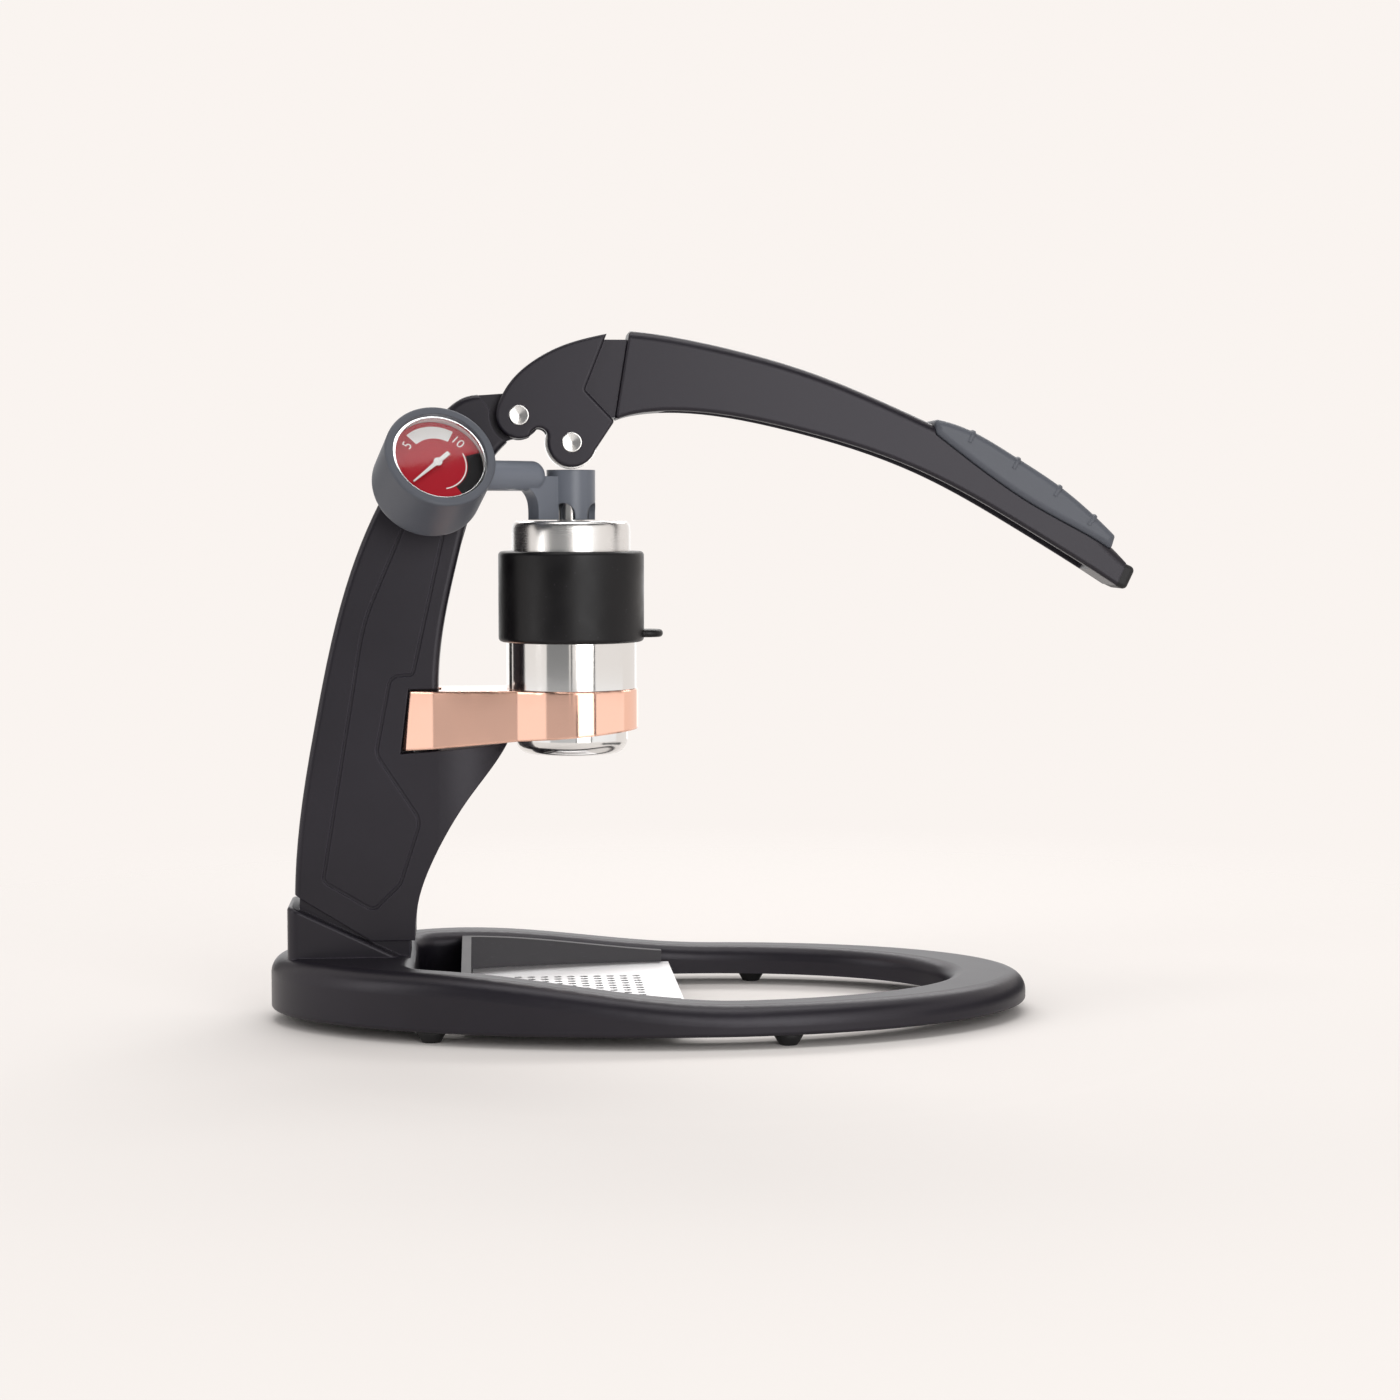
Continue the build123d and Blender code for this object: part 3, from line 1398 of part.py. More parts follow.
with BuildPart() as gauge_movement:
    with Locations(gauge_plane.offset(-dial_depth - dial_thickness)):
        Box(movement_width, movement_height, movement_depth, align=(Align.CENTER, Align.CENTER, Align.MAX))
        with Locations((0, -tube_bend_r / 2, 0)):
            Box(socket_width, tube_bend_r, movement_depth, align=(Align.CENTER, Align.CENTER, Align.MAX))
        with Locations((0, -tube_bend_r, 0)):
            Box(
                socket_width,
                socket_width,
                case_back_depth - dial_depth - dial_thickness,
                align=(Align.CENTER, Align.CENTER, Align.MAX),
            )
        Cylinder(needle_shaft_r + running_clearance, 4 * movement_depth, mode=Mode.SUBTRACT)
    with Locations(gauge_plane.offset(-tube_depth)):
        Torus(tube_bend_r, tube_r + running_clearance, mode=Mode.SUBTRACT)
gauge_movement.part.label = "gauge_movement"
export_step(gauge_movement.part, "parts/gauge_movement.step")
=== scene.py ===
import json
from math import cos, radians, sin

import bmesh
import bpy
from mathutils import Matrix, Vector


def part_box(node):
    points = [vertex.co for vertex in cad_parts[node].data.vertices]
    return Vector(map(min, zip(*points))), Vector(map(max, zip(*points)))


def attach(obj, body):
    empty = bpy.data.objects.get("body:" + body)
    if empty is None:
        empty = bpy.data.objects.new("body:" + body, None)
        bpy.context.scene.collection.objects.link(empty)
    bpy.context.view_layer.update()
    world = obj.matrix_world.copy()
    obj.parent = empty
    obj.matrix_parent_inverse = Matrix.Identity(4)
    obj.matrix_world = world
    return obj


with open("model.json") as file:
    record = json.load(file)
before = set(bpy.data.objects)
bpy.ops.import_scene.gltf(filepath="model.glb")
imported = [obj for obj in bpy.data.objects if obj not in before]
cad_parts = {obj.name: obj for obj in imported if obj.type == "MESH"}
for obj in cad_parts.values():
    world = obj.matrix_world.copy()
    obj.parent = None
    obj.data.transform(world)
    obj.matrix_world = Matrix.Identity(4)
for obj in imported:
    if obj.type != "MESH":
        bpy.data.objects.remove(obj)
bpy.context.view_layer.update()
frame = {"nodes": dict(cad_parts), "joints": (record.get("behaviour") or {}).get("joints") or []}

bl_info = {
    "name": "Lever espresso maker",
    "version": (1, 0, 0),
    "blender": (4, 5, 0),
    "location": "View3D > Sidebar > Espresso",
    "description": "Dresses the packed espresso maker in its finishes and sets up its studio stage",
    "category": "Object",
}

UP = Vector((0.0, 0.0, 1.0))
ACROSS = Vector((0.0, 1.0, 0.0))
MICRON = 0.000001

# Lamps of the stage: place, aim, width and height in metres
LAMPS = {
    "key_lamp": ((0.46, -1.27, 0.45), (-0.02, 0.0, 0.16), 0.8, 0.8),
    "top_lamp": ((0.05, -0.1, 1.4), (0.0, 0.0, 0.0), 1.4, 0.4),
    "strip_lamp": ((-1.05, -0.55, 0.6), (-0.02, 0.0, 0.16), 0.25, 1.0),
    "back_lamp": ((0.1, 1.1, 1.05), (0.0, 0.0, 0.1), 1.7, 0.42),
}

# Cards seen only in mirrored light: first and last degree from the front, lower and upper edge and
# distance from the brew axis in metres, and tone
CARDS = {
    "grey_card": (-46.0, -6.0, 0.075, 0.85, 1.0, 0.245),
    "facet_card": (-46.0, 6.0, 0.0, 0.075, 0.99, 0.62),
    "dark_card_low": (6.0, 9.0, 0.0, 0.075, 0.99, 0.03),
    "dark_card_middle": (-3.4, -0.6, 0.075, 0.85, 0.98, 0.03),
    "dark_card_right": (36.0, 39.5, 0.0, 0.85, 1.0, 0.04),
    "dark_card_left": (-146.0, -132.0, 0.0, 0.85, 1.0, 0.03),
    "dark_card_high": (-85.0, 85.0, 0.85, 2.2, 1.0, 0.03),
    "dark_card_base": (62.0, 120.0, 0.0, 0.055, 0.30, 0.12),
    "white_card_back": (150.0, 210.0, 0.0, 0.45, 1.2, 1.3),
    "white_card_low": (9.0, 36.0, 0.0, 0.075, 0.99, 2.6),
    "pale_card_left": (-100.0, -46.0, 0.0, 0.075, 0.99, 1.13),
    "pale_card_right": (39.5, 100.0, 0.0, 0.075, 0.99, 1.13),
    "arm_card": (13.0, 36.0, 0.16, 0.6, 0.97, 3.2),
    "lens_card": (14.0, 46.0, 0.645, 0.76, 0.285, 3.3),
}
CARD_STEPS = 12

# Shares of the ground's radius between which the floor fades
FADE_START = 0.30
FADE_END = 0.95
FLOOR_SEGMENTS = 96

# Camera, with its turns in degrees
CAMERA_SPOT = (-0.09547, -1.11906, 0.2136)
CAMERA_TURN = (85.92, 0.0, -4.8)
SENSOR_WIDTH = 36.0
CAMERA_REACH = 60.0

# Plain numerals of the dial and their places in degrees from three o'clock
NUMERALS = {"5": 145.0, "10": 45.0}
NUMERAL_LIFT = 0.00036

# Thin scale line of the dial: gap to the black zone, width, and run past the zone's ends in radians
LINE_GAP = 0.0003
LINE_WIDTH = 0.0005
LINE_BELOW = 0.35
LINE_ABOVE = 0.12
DIAL_BLACK = (0.012, 0.012, 0.013)

# The gauge case is pale within this radius, from just behind the dial's middle on
CASE_INSIDE = 0.0196
CASE_BEHIND = 0.0004

# An edge is where the eased normal leaves the true one: their cosine on a flat spot and on an edge
EDGE_FLAT = 0.97
EDGE_FULL = 0.72
BEVEL_SAMPLES = 4

# Faint violet of the powder coat's gloss
COAT_GLOSS = (0.972, 0.938, 1.0)

# Turned lines on a face as a share of those on a wall, and the slope of a pin's dished end
FACE_LINES = 0.83
PIN_DISH = 0.16

# The lens: refractive index, and the share of its mirroring that is kept
GLASS_INDEX = 1.45
LENS_MIRROR = 0.75


def middle(node):
    """Centre of a CAD node's box."""
    low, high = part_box(node)
    return (low + high) / 2


def joint(name):
    """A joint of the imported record, by its name."""
    return next(found for found in frame["joints"] if found["name"] == name)


# The gauge faces this way; its right and up lie in the dial
gauge_facing = -Vector(joint("needle_turn")["axis"]).normalized()
gauge_right = UP.cross(gauge_facing).normalized()
gauge_up = gauge_facing.cross(gauge_right)
dial_centre = middle("gauge_dial")
brew_centre = middle("brew_cylinder")


def colour_choice(name, description, default):
    """Colour that a user may change."""
    return bpy.props.FloatVectorProperty(
        name=name,
        description=description,
        subtype="COLOR",
        min=0.0,
        max=1.0,
        default=default,
    )


def length_choice(name, description, metres):
    """Length that a user may change."""
    return bpy.props.FloatProperty(
        name=name,
        description=description,
        unit="LENGTH",
        precision=5,
        default=metres,
    )


def angle_choice(name, description, degrees):
    """Angle that a user may change."""
    return bpy.props.FloatProperty(
        name=name,
        description=description,
        subtype="ANGLE",
        default=radians(degrees),
    )


def power_choice(name, description, watts):
    """Power of a lamp that a user may change."""
    return bpy.props.FloatProperty(
        name=name,
        description=description,
        unit="POWER",
        min=0.0,
        default=watts,
    )


class FinishColours(bpy.types.PropertyGroup):
    """Colours of the machine's finishes."""

    coat: colour_choice(
        "Powder coat",
        "Satin black of the base, post and lever",
        (0.0106, 0.0090, 0.0136),
    )
    plastic: colour_choice(
        "Tray plastic",
        "Black moulded plastic of the drip tray and the clamp knob",
        (0.0480, 0.0450, 0.0500),
    )
    rubber: colour_choice("Black rubber", "Feet and the lever's end cap", (0.0120, 0.0115, 0.0125))
    silicone: colour_choice(
        "Sleeve silicone",
        "Heat sleeve, gasket and seals",
        (0.0056, 0.0050, 0.0060),
    )
    slate: colour_choice("Slate grey", "Grip and gauge boot", (0.100, 0.107, 0.127))
    slate_plastic: colour_choice("Slate plastic", "Gauge head", (0.190, 0.206, 0.244))
    rose: colour_choice(
        "Rose metal",
        "Polished rose-tinted plating of the portafilter",
        (0.960, 0.582, 0.448),
    )
    steel: colour_choice(
        "Stainless steel",
        "Brew cylinder, basket, stem, stud, roller and pins",
        (0.810, 0.800, 0.785),
    )
    plate: colour_choice(
        "Drip plate",
        "Pale brushed steel of the drip plate",
        (0.865, 0.860, 0.870),
    )
    chrome: colour_choice("Chrome", "Gauge case and bezel", (0.860, 0.862, 0.870))
    brass: colour_choice("Brass", "Works of the gauge", (0.800, 0.590, 0.280))
    piston: colour_choice(
        "Piston plastic",
        "White moulded plastic of the piston",
        (0.800, 0.790, 0.760),
    )
    dial_red: colour_choice("Dial red", "Ground of the dial", (0.420, 0.006, 0.018))
    dial_white: colour_choice(
        "Dial white",
        "White zone, numerals, needle and inside of the case",
        (0.830, 0.820, 0.800),
    )


class DialSizes(bpy.types.PropertyGroup):
    """Sizes of what is printed on the gauge's dial."""

    zone_inner: length_choice("Zone inner radius", "Inner edge of the white zone", 0.0113)
    zone_outer: length_choice("Zone outer radius", "Outer edge of the white zone", 0.0168)
    zone_start: angle_choice(
        "Zone start",
        "Right end of the white zone, counted from three o'clock",
        59.5,
    )
    zone_end: angle_choice(
        "Zone end",
        "Left end of the white zone, counted from three o'clock",
        131.5,
    )
    dark_inner: length_choice("Dark zone inner radius", "Inner edge of the black zone", 0.0125)
    dark_start: angle_choice("Dark zone start", "Lower end of the black zone", -60.0)
    dark_end: angle_choice("Dark zone end", "Upper end of the black zone", 15.0)
    numeral_height: length_choice("Numeral size", "Type size of the numerals", 0.0056)
    numeral_radius: length_choice(
        "Numeral radius",
        "How far the numerals stand from the dial's centre",
        0.0138,
    )


class StageSetup(bpy.types.PropertyGroup):
    """Floor, background, lamps and camera."""

    ground: colour_choice(
        "Ground",
        "Pale colour of the floor and the background",
        (0.955, 0.905, 0.871),
    )
    ground_radius: length_choice(
        "Ground radius",
        "Where the floor has faded into the background",
        0.7,
    )
    fill: bpy.props.FloatProperty(
        name="Fill",
        description="Strength of the soft light from all round",
        min=0.0,
        default=0.42,
    )
    key_power: power_choice(
        "Key lamp",
        "Power of the soft lamp in front, a little to the right",
        6.2,
    )
    top_power: power_choice("Top lamp", "Power of the soft lamp overhead", 5.0)
    strip_power: power_choice("Strip lamp", "Power of the upright strip lamp at the left", 2.0)
    back_power: power_choice("Back lamp", "Power of the wide soft lamp high behind", 10.0)
    lens: bpy.props.FloatProperty(
        name="Lens",
        description="Focal length of the camera",
        unit="CAMERA",
        default=68.14,
    )


class Wire:
    """A value socket, wrapped so that shader maths reads as plain arithmetic."""

    def __init__(self, graph, socket):
        self.graph = graph
        self.socket = socket

    def maths(self, operation, first, second):
        return self.graph.node("ShaderNodeMath", {"operation": operation}, {0: first, 1: second})

    def __add__(self, other):
        return self.maths("ADD", self, other)

    def __radd__(self, other):
        return self.maths("ADD", other, self)

    def __sub__(self, other):
        return self.maths("SUBTRACT", self, other)

    def __rsub__(self, other):
        return self.maths("SUBTRACT", other, self)

    def __mul__(self, other):
        return self.maths("MULTIPLY", self, other)

    def __rmul__(self, other):
        return self.maths("MULTIPLY", other, self)

    def __gt__(self, other):
        return self.maths("GREATER_THAN", self, other)

    def __lt__(self, other):
        return self.maths("LESS_THAN", self, other)


class Graph:
    """A node tree under construction."""

    def __init__(self, tree):
        self.tree = tree

    def node(self, kind, settings=None, sockets=None, output=0):
        """Adds a node, with its settings first and its sockets next, and gives back one output."""
        added = self.tree.nodes.new(kind)
        for name, value in (settings or {}).items():
            setattr(added, name, value)
        for name, value in (sockets or {}).items():
            self.feed(added.inputs[name], value)
        return Wire(self, added.outputs[output])

    def feed(self, socket, value):
        """Links a wire into a socket, or sets the socket to a value."""
        if isinstance(value, Wire):
            self.tree.links.new(value.socket, socket)
        else:
            socket.default_value = value

    def show(self, shader, output="Material Output"):
        """Ends the tree in a shader."""
        self.feed(self.tree.nodes[output].inputs["Surface"], shader)


class Finish(Graph):
    """A procedural material, with the places on the machine in metres."""

    def __init__(self, name):
        self.material = bpy.data.materials.new(name)
        self.material.use_nodes = True
        super().__init__(self.material.node_tree)
        self.place = self.node("ShaderNodeTexCoord", output="Object")

    def surface(self, sockets):
        """Sets the shader's sockets."""
        shader = self.tree.nodes["Principled BSDF"]
        for name, value in sockets.items():
            self.feed(shader.inputs[name], value)

    def shaded(self):
        """Output of the finish's own shader."""
        return Wire(self, self.tree.nodes["Principled BSDF"].outputs[0])

    def noise(self, scale, detail=2.0, where=None):
        """Soft noise from 0 to 1, with this many features to the metre."""
        return self.node(
            "ShaderNodeTexNoise",
            None,
            {"Vector": where or self.place, "Scale": scale, "Detail": detail},
        )

    def bands(self, distance, scale, detail):
        """Soft noise along a distance, with this many bands to the metre."""
        return self.node(
            "ShaderNodeTexNoise",
            {"noise_dimensions": "1D"},
            {"W": distance, "Scale": scale, "Detail": detail},
        )

    def between(self, value, low, high):
        """Value brought from the range low to high onto 0 to 1, and held there."""
        sockets = {"Value": value, "From Min": low, "From Max": high}
        return self.node("ShaderNodeMapRange", None, sockets)

    def mixed(self, share, first, second):
        """Colour between two others."""
        return self.node("ShaderNodeMix", {"data_type": "RGBA"}, {0: share, 6: first, 7: second}, 2)

    def vector(self, operation, first, second, output="Vector"):
        """Vector maths on two vectors."""
        settings = {"operation": operation}
        return self.node("ShaderNodeVectorMath", settings, {0: first, 1: second}, output)

    def stretched(self, x, y, z):
        """Places drawn out along the axes."""
        return self.vector("MULTIPLY", self.place, (x, y, z))

    def along(self, centre, axis):
        """How far a place lies from a centre along an axis."""
        return self.vector("DOT_PRODUCT", self.vector("SUBTRACT", self.place, centre), axis, "Value")

    def off_axis(self, centre, axis):
        """How far a place lies from an axis through a centre."""
        across = self.vector("CROSS_PRODUCT", self.vector("SUBTRACT", self.place, centre), axis)
        return self.node("ShaderNodeVectorMath", {"operation": "LENGTH"}, {0: across}, "Value")

    def edges(self, radius):
        """Mask of the edges within a radius."""
        eased = self.node("ShaderNodeBevel", {"samples": BEVEL_SAMPLES}, {"Radius": radius})
        true = self.node("ShaderNodeNewGeometry", output="Normal")
        likeness = self.vector("DOT_PRODUCT", eased, true, "Value")
        return self.between(likeness, EDGE_FLAT, EDGE_FULL)

    def relief(self, height, edge_radius=0.0):
        """Surface normal for a height in metres, with the edges eased by a radius."""
        sockets = {"Strength": 1.0, "Distance": 1.0, "Height": height}
        if edge_radius > 0:
            bevel = {"samples": BEVEL_SAMPLES}
            sockets["Normal"] = self.node("ShaderNodeBevel", bevel, {"Radius": edge_radius})
        return self.node("ShaderNodeBump", None, sockets)


def opaque(colour, gain=1.0):
    """Colour for a socket, made darker or lighter by a gain."""
    return (colour[0] * gain, colour[1] * gain, colour[2] * gain, 1.0)


def coat_finish(name, colour):
    """Satin powder coat: orange peel, fine grain and a painted highlight that makes the edges a little
    paler.
    """
    finish = Finish(name)
    peel = finish.noise(620.0, detail=3.0)
    grain = finish.noise(3400.0)
    clouds = finish.noise(24.0, detail=3.0)
    # Painted highlight: the edges are coloured paler and made a little glossier, standing in for light
    # caught on the rounded edges
    painted_edge_highlight = finish.edges(0.0013) * (0.35 + 0.65 * clouds)
    tone = finish.mixed(finish.between(clouds, 0.3, 0.7), opaque(colour, 0.86), opaque(colour, 1.16))
    bumps = peel * (10.0 * MICRON) + grain * (1.8 * MICRON)
    finish.surface(
        {
            "Base Color": finish.mixed(painted_edge_highlight * 0.60, tone, opaque(colour, 5.0)),
            "Roughness": 0.29 + 0.09 * clouds + 0.07 * grain - 0.05 * painted_edge_highlight,
            "Specular IOR Level": 0.40,
            "Specular Tint": opaque(COAT_GLOSS),
            "Normal": finish.relief(bumps, edge_radius=0.0007),
        }
    )
    return finish.material


def moulded_finish(name, colour):
    """Moulded plastic with a fine spark grain and a few scuffs."""
    finish = Finish(name)
    grain = finish.noise(2300.0, detail=3.0)
    clouds = finish.noise(31.0, detail=3.0)
    rubs = finish.noise(1.0, detail=2.0, where=finish.stretched(60.0, 900.0, 900.0))
    scuffs = finish.between(rubs, 0.62, 0.78)
    tone = finish.mixed(clouds, opaque(colour, 0.85), opaque(colour, 1.2))
    finish.surface(
        {
            "Base Color": finish.mixed(scuffs * 0.25, tone, opaque(colour, 2.6)),
            "Roughness": 0.40 + 0.12 * clouds + 0.10 * grain,
            "Specular IOR Level": 0.38,
            "Normal": finish.relief(grain * (8.0 * MICRON), edge_radius=0.0005),
        }
    )
    return finish.material


def rubber_finish(name, colour, roughness):
    """Moulded rubber: dull, finely grained, a little dusty on the raised edges."""
    finish = Finish(name)
    grain = finish.noise(1900.0, detail=4.0)
    clouds = finish.noise(38.0, detail=4.0)
    dust = finish.edges(0.0014) * finish.between(clouds, 0.40, 0.70)
    tone = finish.mixed(clouds, opaque(colour, 0.88), opaque(colour, 1.13))
    finish.surface(
        {
            "Base Color": finish.mixed(dust * 0.35, tone, opaque(colour, 1.7)),
            "Roughness": roughness + 0.12 * clouds + 0.10 * grain,
            "Specular IOR Level": 0.34,
            "Normal": finish.relief(grain * (12.0 * MICRON), edge_radius=0.0008),
        }
    )
    return finish.material


def silicone_finish(name, colour):
    """Satin silicone with faint handling marks and a few specks of lint."""
    finish = Finish(name)
    marks = finish.noise(70.0, detail=5.0)
    swell = finish.noise(160.0, detail=2.0)
    lint = finish.between(finish.noise(900.0, detail=0.0), 0.80, 0.86)
    tone = finish.mixed(marks, opaque(colour, 0.85), opaque(colour, 1.2))
    finish.surface(
        {
            "Base Color": finish.mixed(lint * 0.30, tone, opaque(colour, 9.0)),
            "Roughness": 0.30 + 0.14 * finish.between(marks, 0.35, 0.65),
            "Specular IOR Level": 0.28,
            "Normal": finish.relief(swell * (20.0 * MICRON), edge_radius=0.0008),
        }
    )
    return finish.material


def plated_finish(name, colour):
    """Bright plating with hairline scratches and faint smudges."""
    finish = Finish(name)
    smudges = finish.noise(55.0, detail=4.0)
    hairlines = finish.noise(1.0, detail=3.0, where=finish.stretched(120.0, 1500.0, 2600.0))
    swell = finish.noise(90.0, detail=1.0)
    bumps = hairlines * (0.6 * MICRON) + swell * (8.0 * MICRON)
    finish.surface(
        {
            "Base Color": finish.mixed(smudges, opaque(colour, 0.96), opaque(colour)),
            "Metallic": 1.0,
            "Roughness": 0.05 + 0.07 * finish.between(smudges, 0.45, 0.75) + 0.04 * hairlines,
            "Normal": finish.relief(bumps, edge_radius=0.0012),
        }
    )
    return finish.material


def turned_finish(name, colour, axis, centre, roughness, satin=0.0):
    """Lathe-turned metal: lines round an axis, a few fingermarks and, if asked, a satin upper half."""
    finish = Finish(name)
    height = finish.along(centre, axis)
    reach = finish.off_axis(centre, axis)
    lines = finish.bands(height + FACE_LINES * reach, 5200.0, detail=3.0)
    marks = finish.noise(48.0, detail=4.0)
    finish.surface(
        {
            "Base Color": finish.mixed(lines, opaque(colour, 0.93), opaque(colour)),
            "Metallic": 1.0,
            "Roughness": roughness
            + satin * (height > 0.0)
            + 0.07 * lines
            + 0.08 * finish.between(marks, 0.52, 0.75),
            "Normal": finish.relief(lines * (1.1 * MICRON), edge_radius=0.0004),
        }
    )
    return finish.material


def brushed_finish(name, colour):
    """Sheet steel brushed along its length."""
    finish = Finish(name)
    strokes = finish.noise(1.0, detail=4.0, where=finish.stretched(26.0, 2600.0, 2600.0))
    marks = finish.noise(40.0, detail=4.0)
    finish.surface(
        {
            "Base Color": finish.mixed(strokes, opaque(colour, 0.86), opaque(colour)),
            "Metallic": 1.0,
            "Roughness": 0.26 + 0.16 * strokes + 0.08 * marks,
            "Normal": finish.relief(strokes * (3.0 * MICRON), edge_radius=0.0003),
        }
    )
    return finish.material


def pin_finish(name, colour, centre):
    """Turned pin whose ends are dished a little, with rings from the cut."""
    finish = Finish(name)
    reach = finish.off_axis(centre, ACROSS)
    rings = finish.bands(reach, 4200.0, detail=2.0)
    finish.surface(
        {
            "Base Color": finish.mixed(rings, opaque(colour, 0.90), opaque(colour)),
            "Metallic": 1.0,
            "Roughness": 0.14 + 0.10 * rings,
            "Normal": finish.relief(rings * (4.0 * MICRON) + reach * PIN_DISH, edge_radius=0.0004),
        }
    )
    return finish.material


def painted_finish(name, colour, roughness):
    """Even paint or plastic with a slight mottle."""
    finish = Finish(name)
    mottle = finish.noise(300.0, detail=3.0)
    grain = finish.noise(2800.0)
    finish.surface(
        {
            "Base Color": finish.mixed(mottle, opaque(colour, 0.95), opaque(colour)),
            "Roughness": roughness + 0.10 * mottle,
            "Normal": finish.relief(grain * (2.0 * MICRON), edge_radius=0.0002),
        }
    )
    return finish.material


def lens_finish(name):
    """Clear flat glass that mirrors more when seen from the side."""
    finish = Finish(name)
    smears = finish.noise(60.0, detail=4.0)
    finish.surface(
        {
            "Base Color": (1.0, 1.0, 1.0, 1.0),
            "Metallic": 1.0,
            "Roughness": 0.02 + 0.05 * smears,
        }
    )
    clear = finish.node("ShaderNodeBsdfTransparent")
    behind = finish.node("ShaderNodeNewGeometry", output="Backfacing")
    glance = finish.node("ShaderNodeFresnel", None, {"IOR": GLASS_INDEX})
    share = (1.0 - behind) * LENS_MIRROR * glance
    finish.show(finish.node("ShaderNodeMixShader", None, {0: share, 1: clear, 2: finish.shaded()}))
    return finish.material


def case_finish(name, metal, pale):
    """Chromed gauge case, painted pale on the inside wall round the dial."""
    finish = Finish(name)
    reach = finish.off_axis(dial_centre, gauge_facing)
    height = finish.along(dial_centre, gauge_facing)
    inside = (reach < CASE_INSIDE) * (height > -CASE_BEHIND)
    mottle = finish.noise(500.0, detail=3.0)
    wall = finish.mixed(mottle, opaque(pale, 0.90), opaque(pale))
    finish.surface(
        {
            "Base Color": finish.mixed(inside, opaque(metal), wall),
            "Metallic": 1.0 - inside,
            "Roughness": 0.05 + 0.05 * mottle + 0.35 * inside,
        }
    )
    return finish.material


def dial_finish(name, colours, sizes):
    """Printed dial: a red ground, a white zone, a black zone and a thin white scale line."""
    finish = Finish(name)
    right = finish.along(dial_centre, gauge_right)
    up = finish.along(dial_centre, gauge_up)
    reach = finish.off_axis(dial_centre, gauge_facing)
    turn = finish.node("ShaderNodeMath", {"operation": "ARCTAN2"}, {0: up, 1: right})
    white_band = (reach > sizes.zone_inner) * (reach < sizes.zone_outer)
    white = white_band * (turn > sizes.zone_start) * (turn < sizes.zone_end)
    black = (reach > sizes.dark_inner) * (turn > sizes.dark_start) * (turn < sizes.dark_end)
    line_outer = sizes.dark_inner - LINE_GAP
    line_band = (reach > line_outer - LINE_WIDTH) * (reach < line_outer)
    line = line_band * (turn > sizes.dark_start - LINE_BELOW) * (turn < sizes.dark_end + LINE_ABOVE)
    mottle = finish.noise(700.0, detail=3.0)
    red = finish.mixed(mottle, opaque(colours.dial_red, 0.92), opaque(colours.dial_red, 1.06))
    zoned = finish.mixed(white, red, opaque(colours.dial_white))
    printed = finish.mixed(black, zoned, opaque(DIAL_BLACK))
    finish.surface(
        {
            "Base Color": finish.mixed(line, printed, opaque(colours.dial_white)),
            "Roughness": 0.38 + 0.12 * mottle,
            "Specular IOR Level": 0.15,
        }
    )
    return finish.material


def dress(material, *names):
    """Gives CAD nodes their finish."""
    for name in names:
        node = frame["nodes"][name]
        if not node.material_slots:
            node.data.materials.append(material)
        for place in node.material_slots:
            place.material = material


class ESPRESSO_OT_castings(bpy.types.Operator):
    """Powder coat on the base, post and lever"""

    bl_idname = "espresso.castings"
    bl_label = "Castings"

    def execute(self, context):
        colours = context.scene.espresso_colours
        dress(coat_finish("black coat", colours.coat), "base_frame", "post", "lever_fork", "lever_arm")
        return {"FINISHED"}


class ESPRESSO_OT_tray(bpy.types.Operator):
    """Moulded drip tray and brushed drip plate"""

    bl_idname = "espresso.tray"
    bl_label = "Tray and plate"

    def execute(self, context):
        colours = context.scene.espresso_colours
        dress(moulded_finish("black plastic", colours.plastic), "drip_tray", "post_knob")
        dress(brushed_finish("brushed steel", colours.plate), "drip_grate")
        return {"FINISHED"}


class ESPRESSO_OT_rubber(bpy.types.Operator):
    """Rubber feet and end cap, the slate grip and gauge boot, and the gauge head"""

    bl_idname = "espresso.rubber"
    bl_label = "Rubber pieces"

    def execute(self, context):
        colours = context.scene.espresso_colours
        dress(rubber_finish("black rubber", colours.rubber, roughness=0.42), "feet", "end_cap")
        dress(rubber_finish("slate rubber", colours.slate, roughness=0.36), "grip", "gauge_boot")
        dress(rubber_finish("slate plastic", colours.slate_plastic, roughness=0.20), "gauge_head")
        return {"FINISHED"}


class ESPRESSO_OT_brew_group(bpy.types.Operator):
    """Sleeve, seals, cylinder, basket, screen and portafilter"""

    bl_idname = "espresso.brew_group"
    bl_label = "Brew group"

    def execute(self, context):
        colours = context.scene.espresso_colours
        steel = turned_finish(
            "turned steel", colours.steel, UP, brew_centre, roughness=0.06, satin=0.16
        )
        silicone = silicone_finish("sleeve silicone", colours.silicone)
        dress(silicone, "sleeve", "basket_gasket", "piston_seals")
        dress(steel, "brew_cylinder", "filter_basket", "basket_floor", "dispersion_screen")
        dress(plated_finish("rose plating", colours.rose), "portafilter")
        return {"FINISHED"}


class ESPRESSO_OT_pins(bpy.types.Operator):
    """Pins, roller and bush of the lever, and the clamp under the heel"""

    bl_idname = "espresso.pins"
    bl_label = "Pins and clamp"

    def execute(self, context):
        colours = context.scene.espresso_colours
        for pin in ("pivot_pin", "pusher_pin"):
            label = pin.replace("_", " ") + " steel"
            dress(pin_finish(label, colours.steel, middle(pin)), pin)
        roller_centre = middle("pusher_roller")
        roller = turned_finish("roller steel", colours.steel, ACROSS, roller_centre, roughness=0.16)
        dress(roller, "pusher_roller", "pivot_bush")
        stud = turned_finish("stud steel", colours.steel, UP, middle("post_stud"), roughness=0.2)
        dress(stud, "post_stud", "knob_washer")
        return {"FINISHED"}


class ESPRESSO_OT_plunger(bpy.types.Operator):
    """Piston, stem and bolt"""

    bl_idname = "espresso.plunger"
    bl_label = "Plunger"

    def execute(self, context):
        colours = context.scene.espresso_colours
        dress(painted_finish("piston plastic", colours.piston, roughness=0.34), "piston")
        stem = turned_finish("stem steel", colours.steel, UP, brew_centre, roughness=0.14)
        dress(stem, "plunger_stem", "piston_bolt")
        return {"FINISHED"}


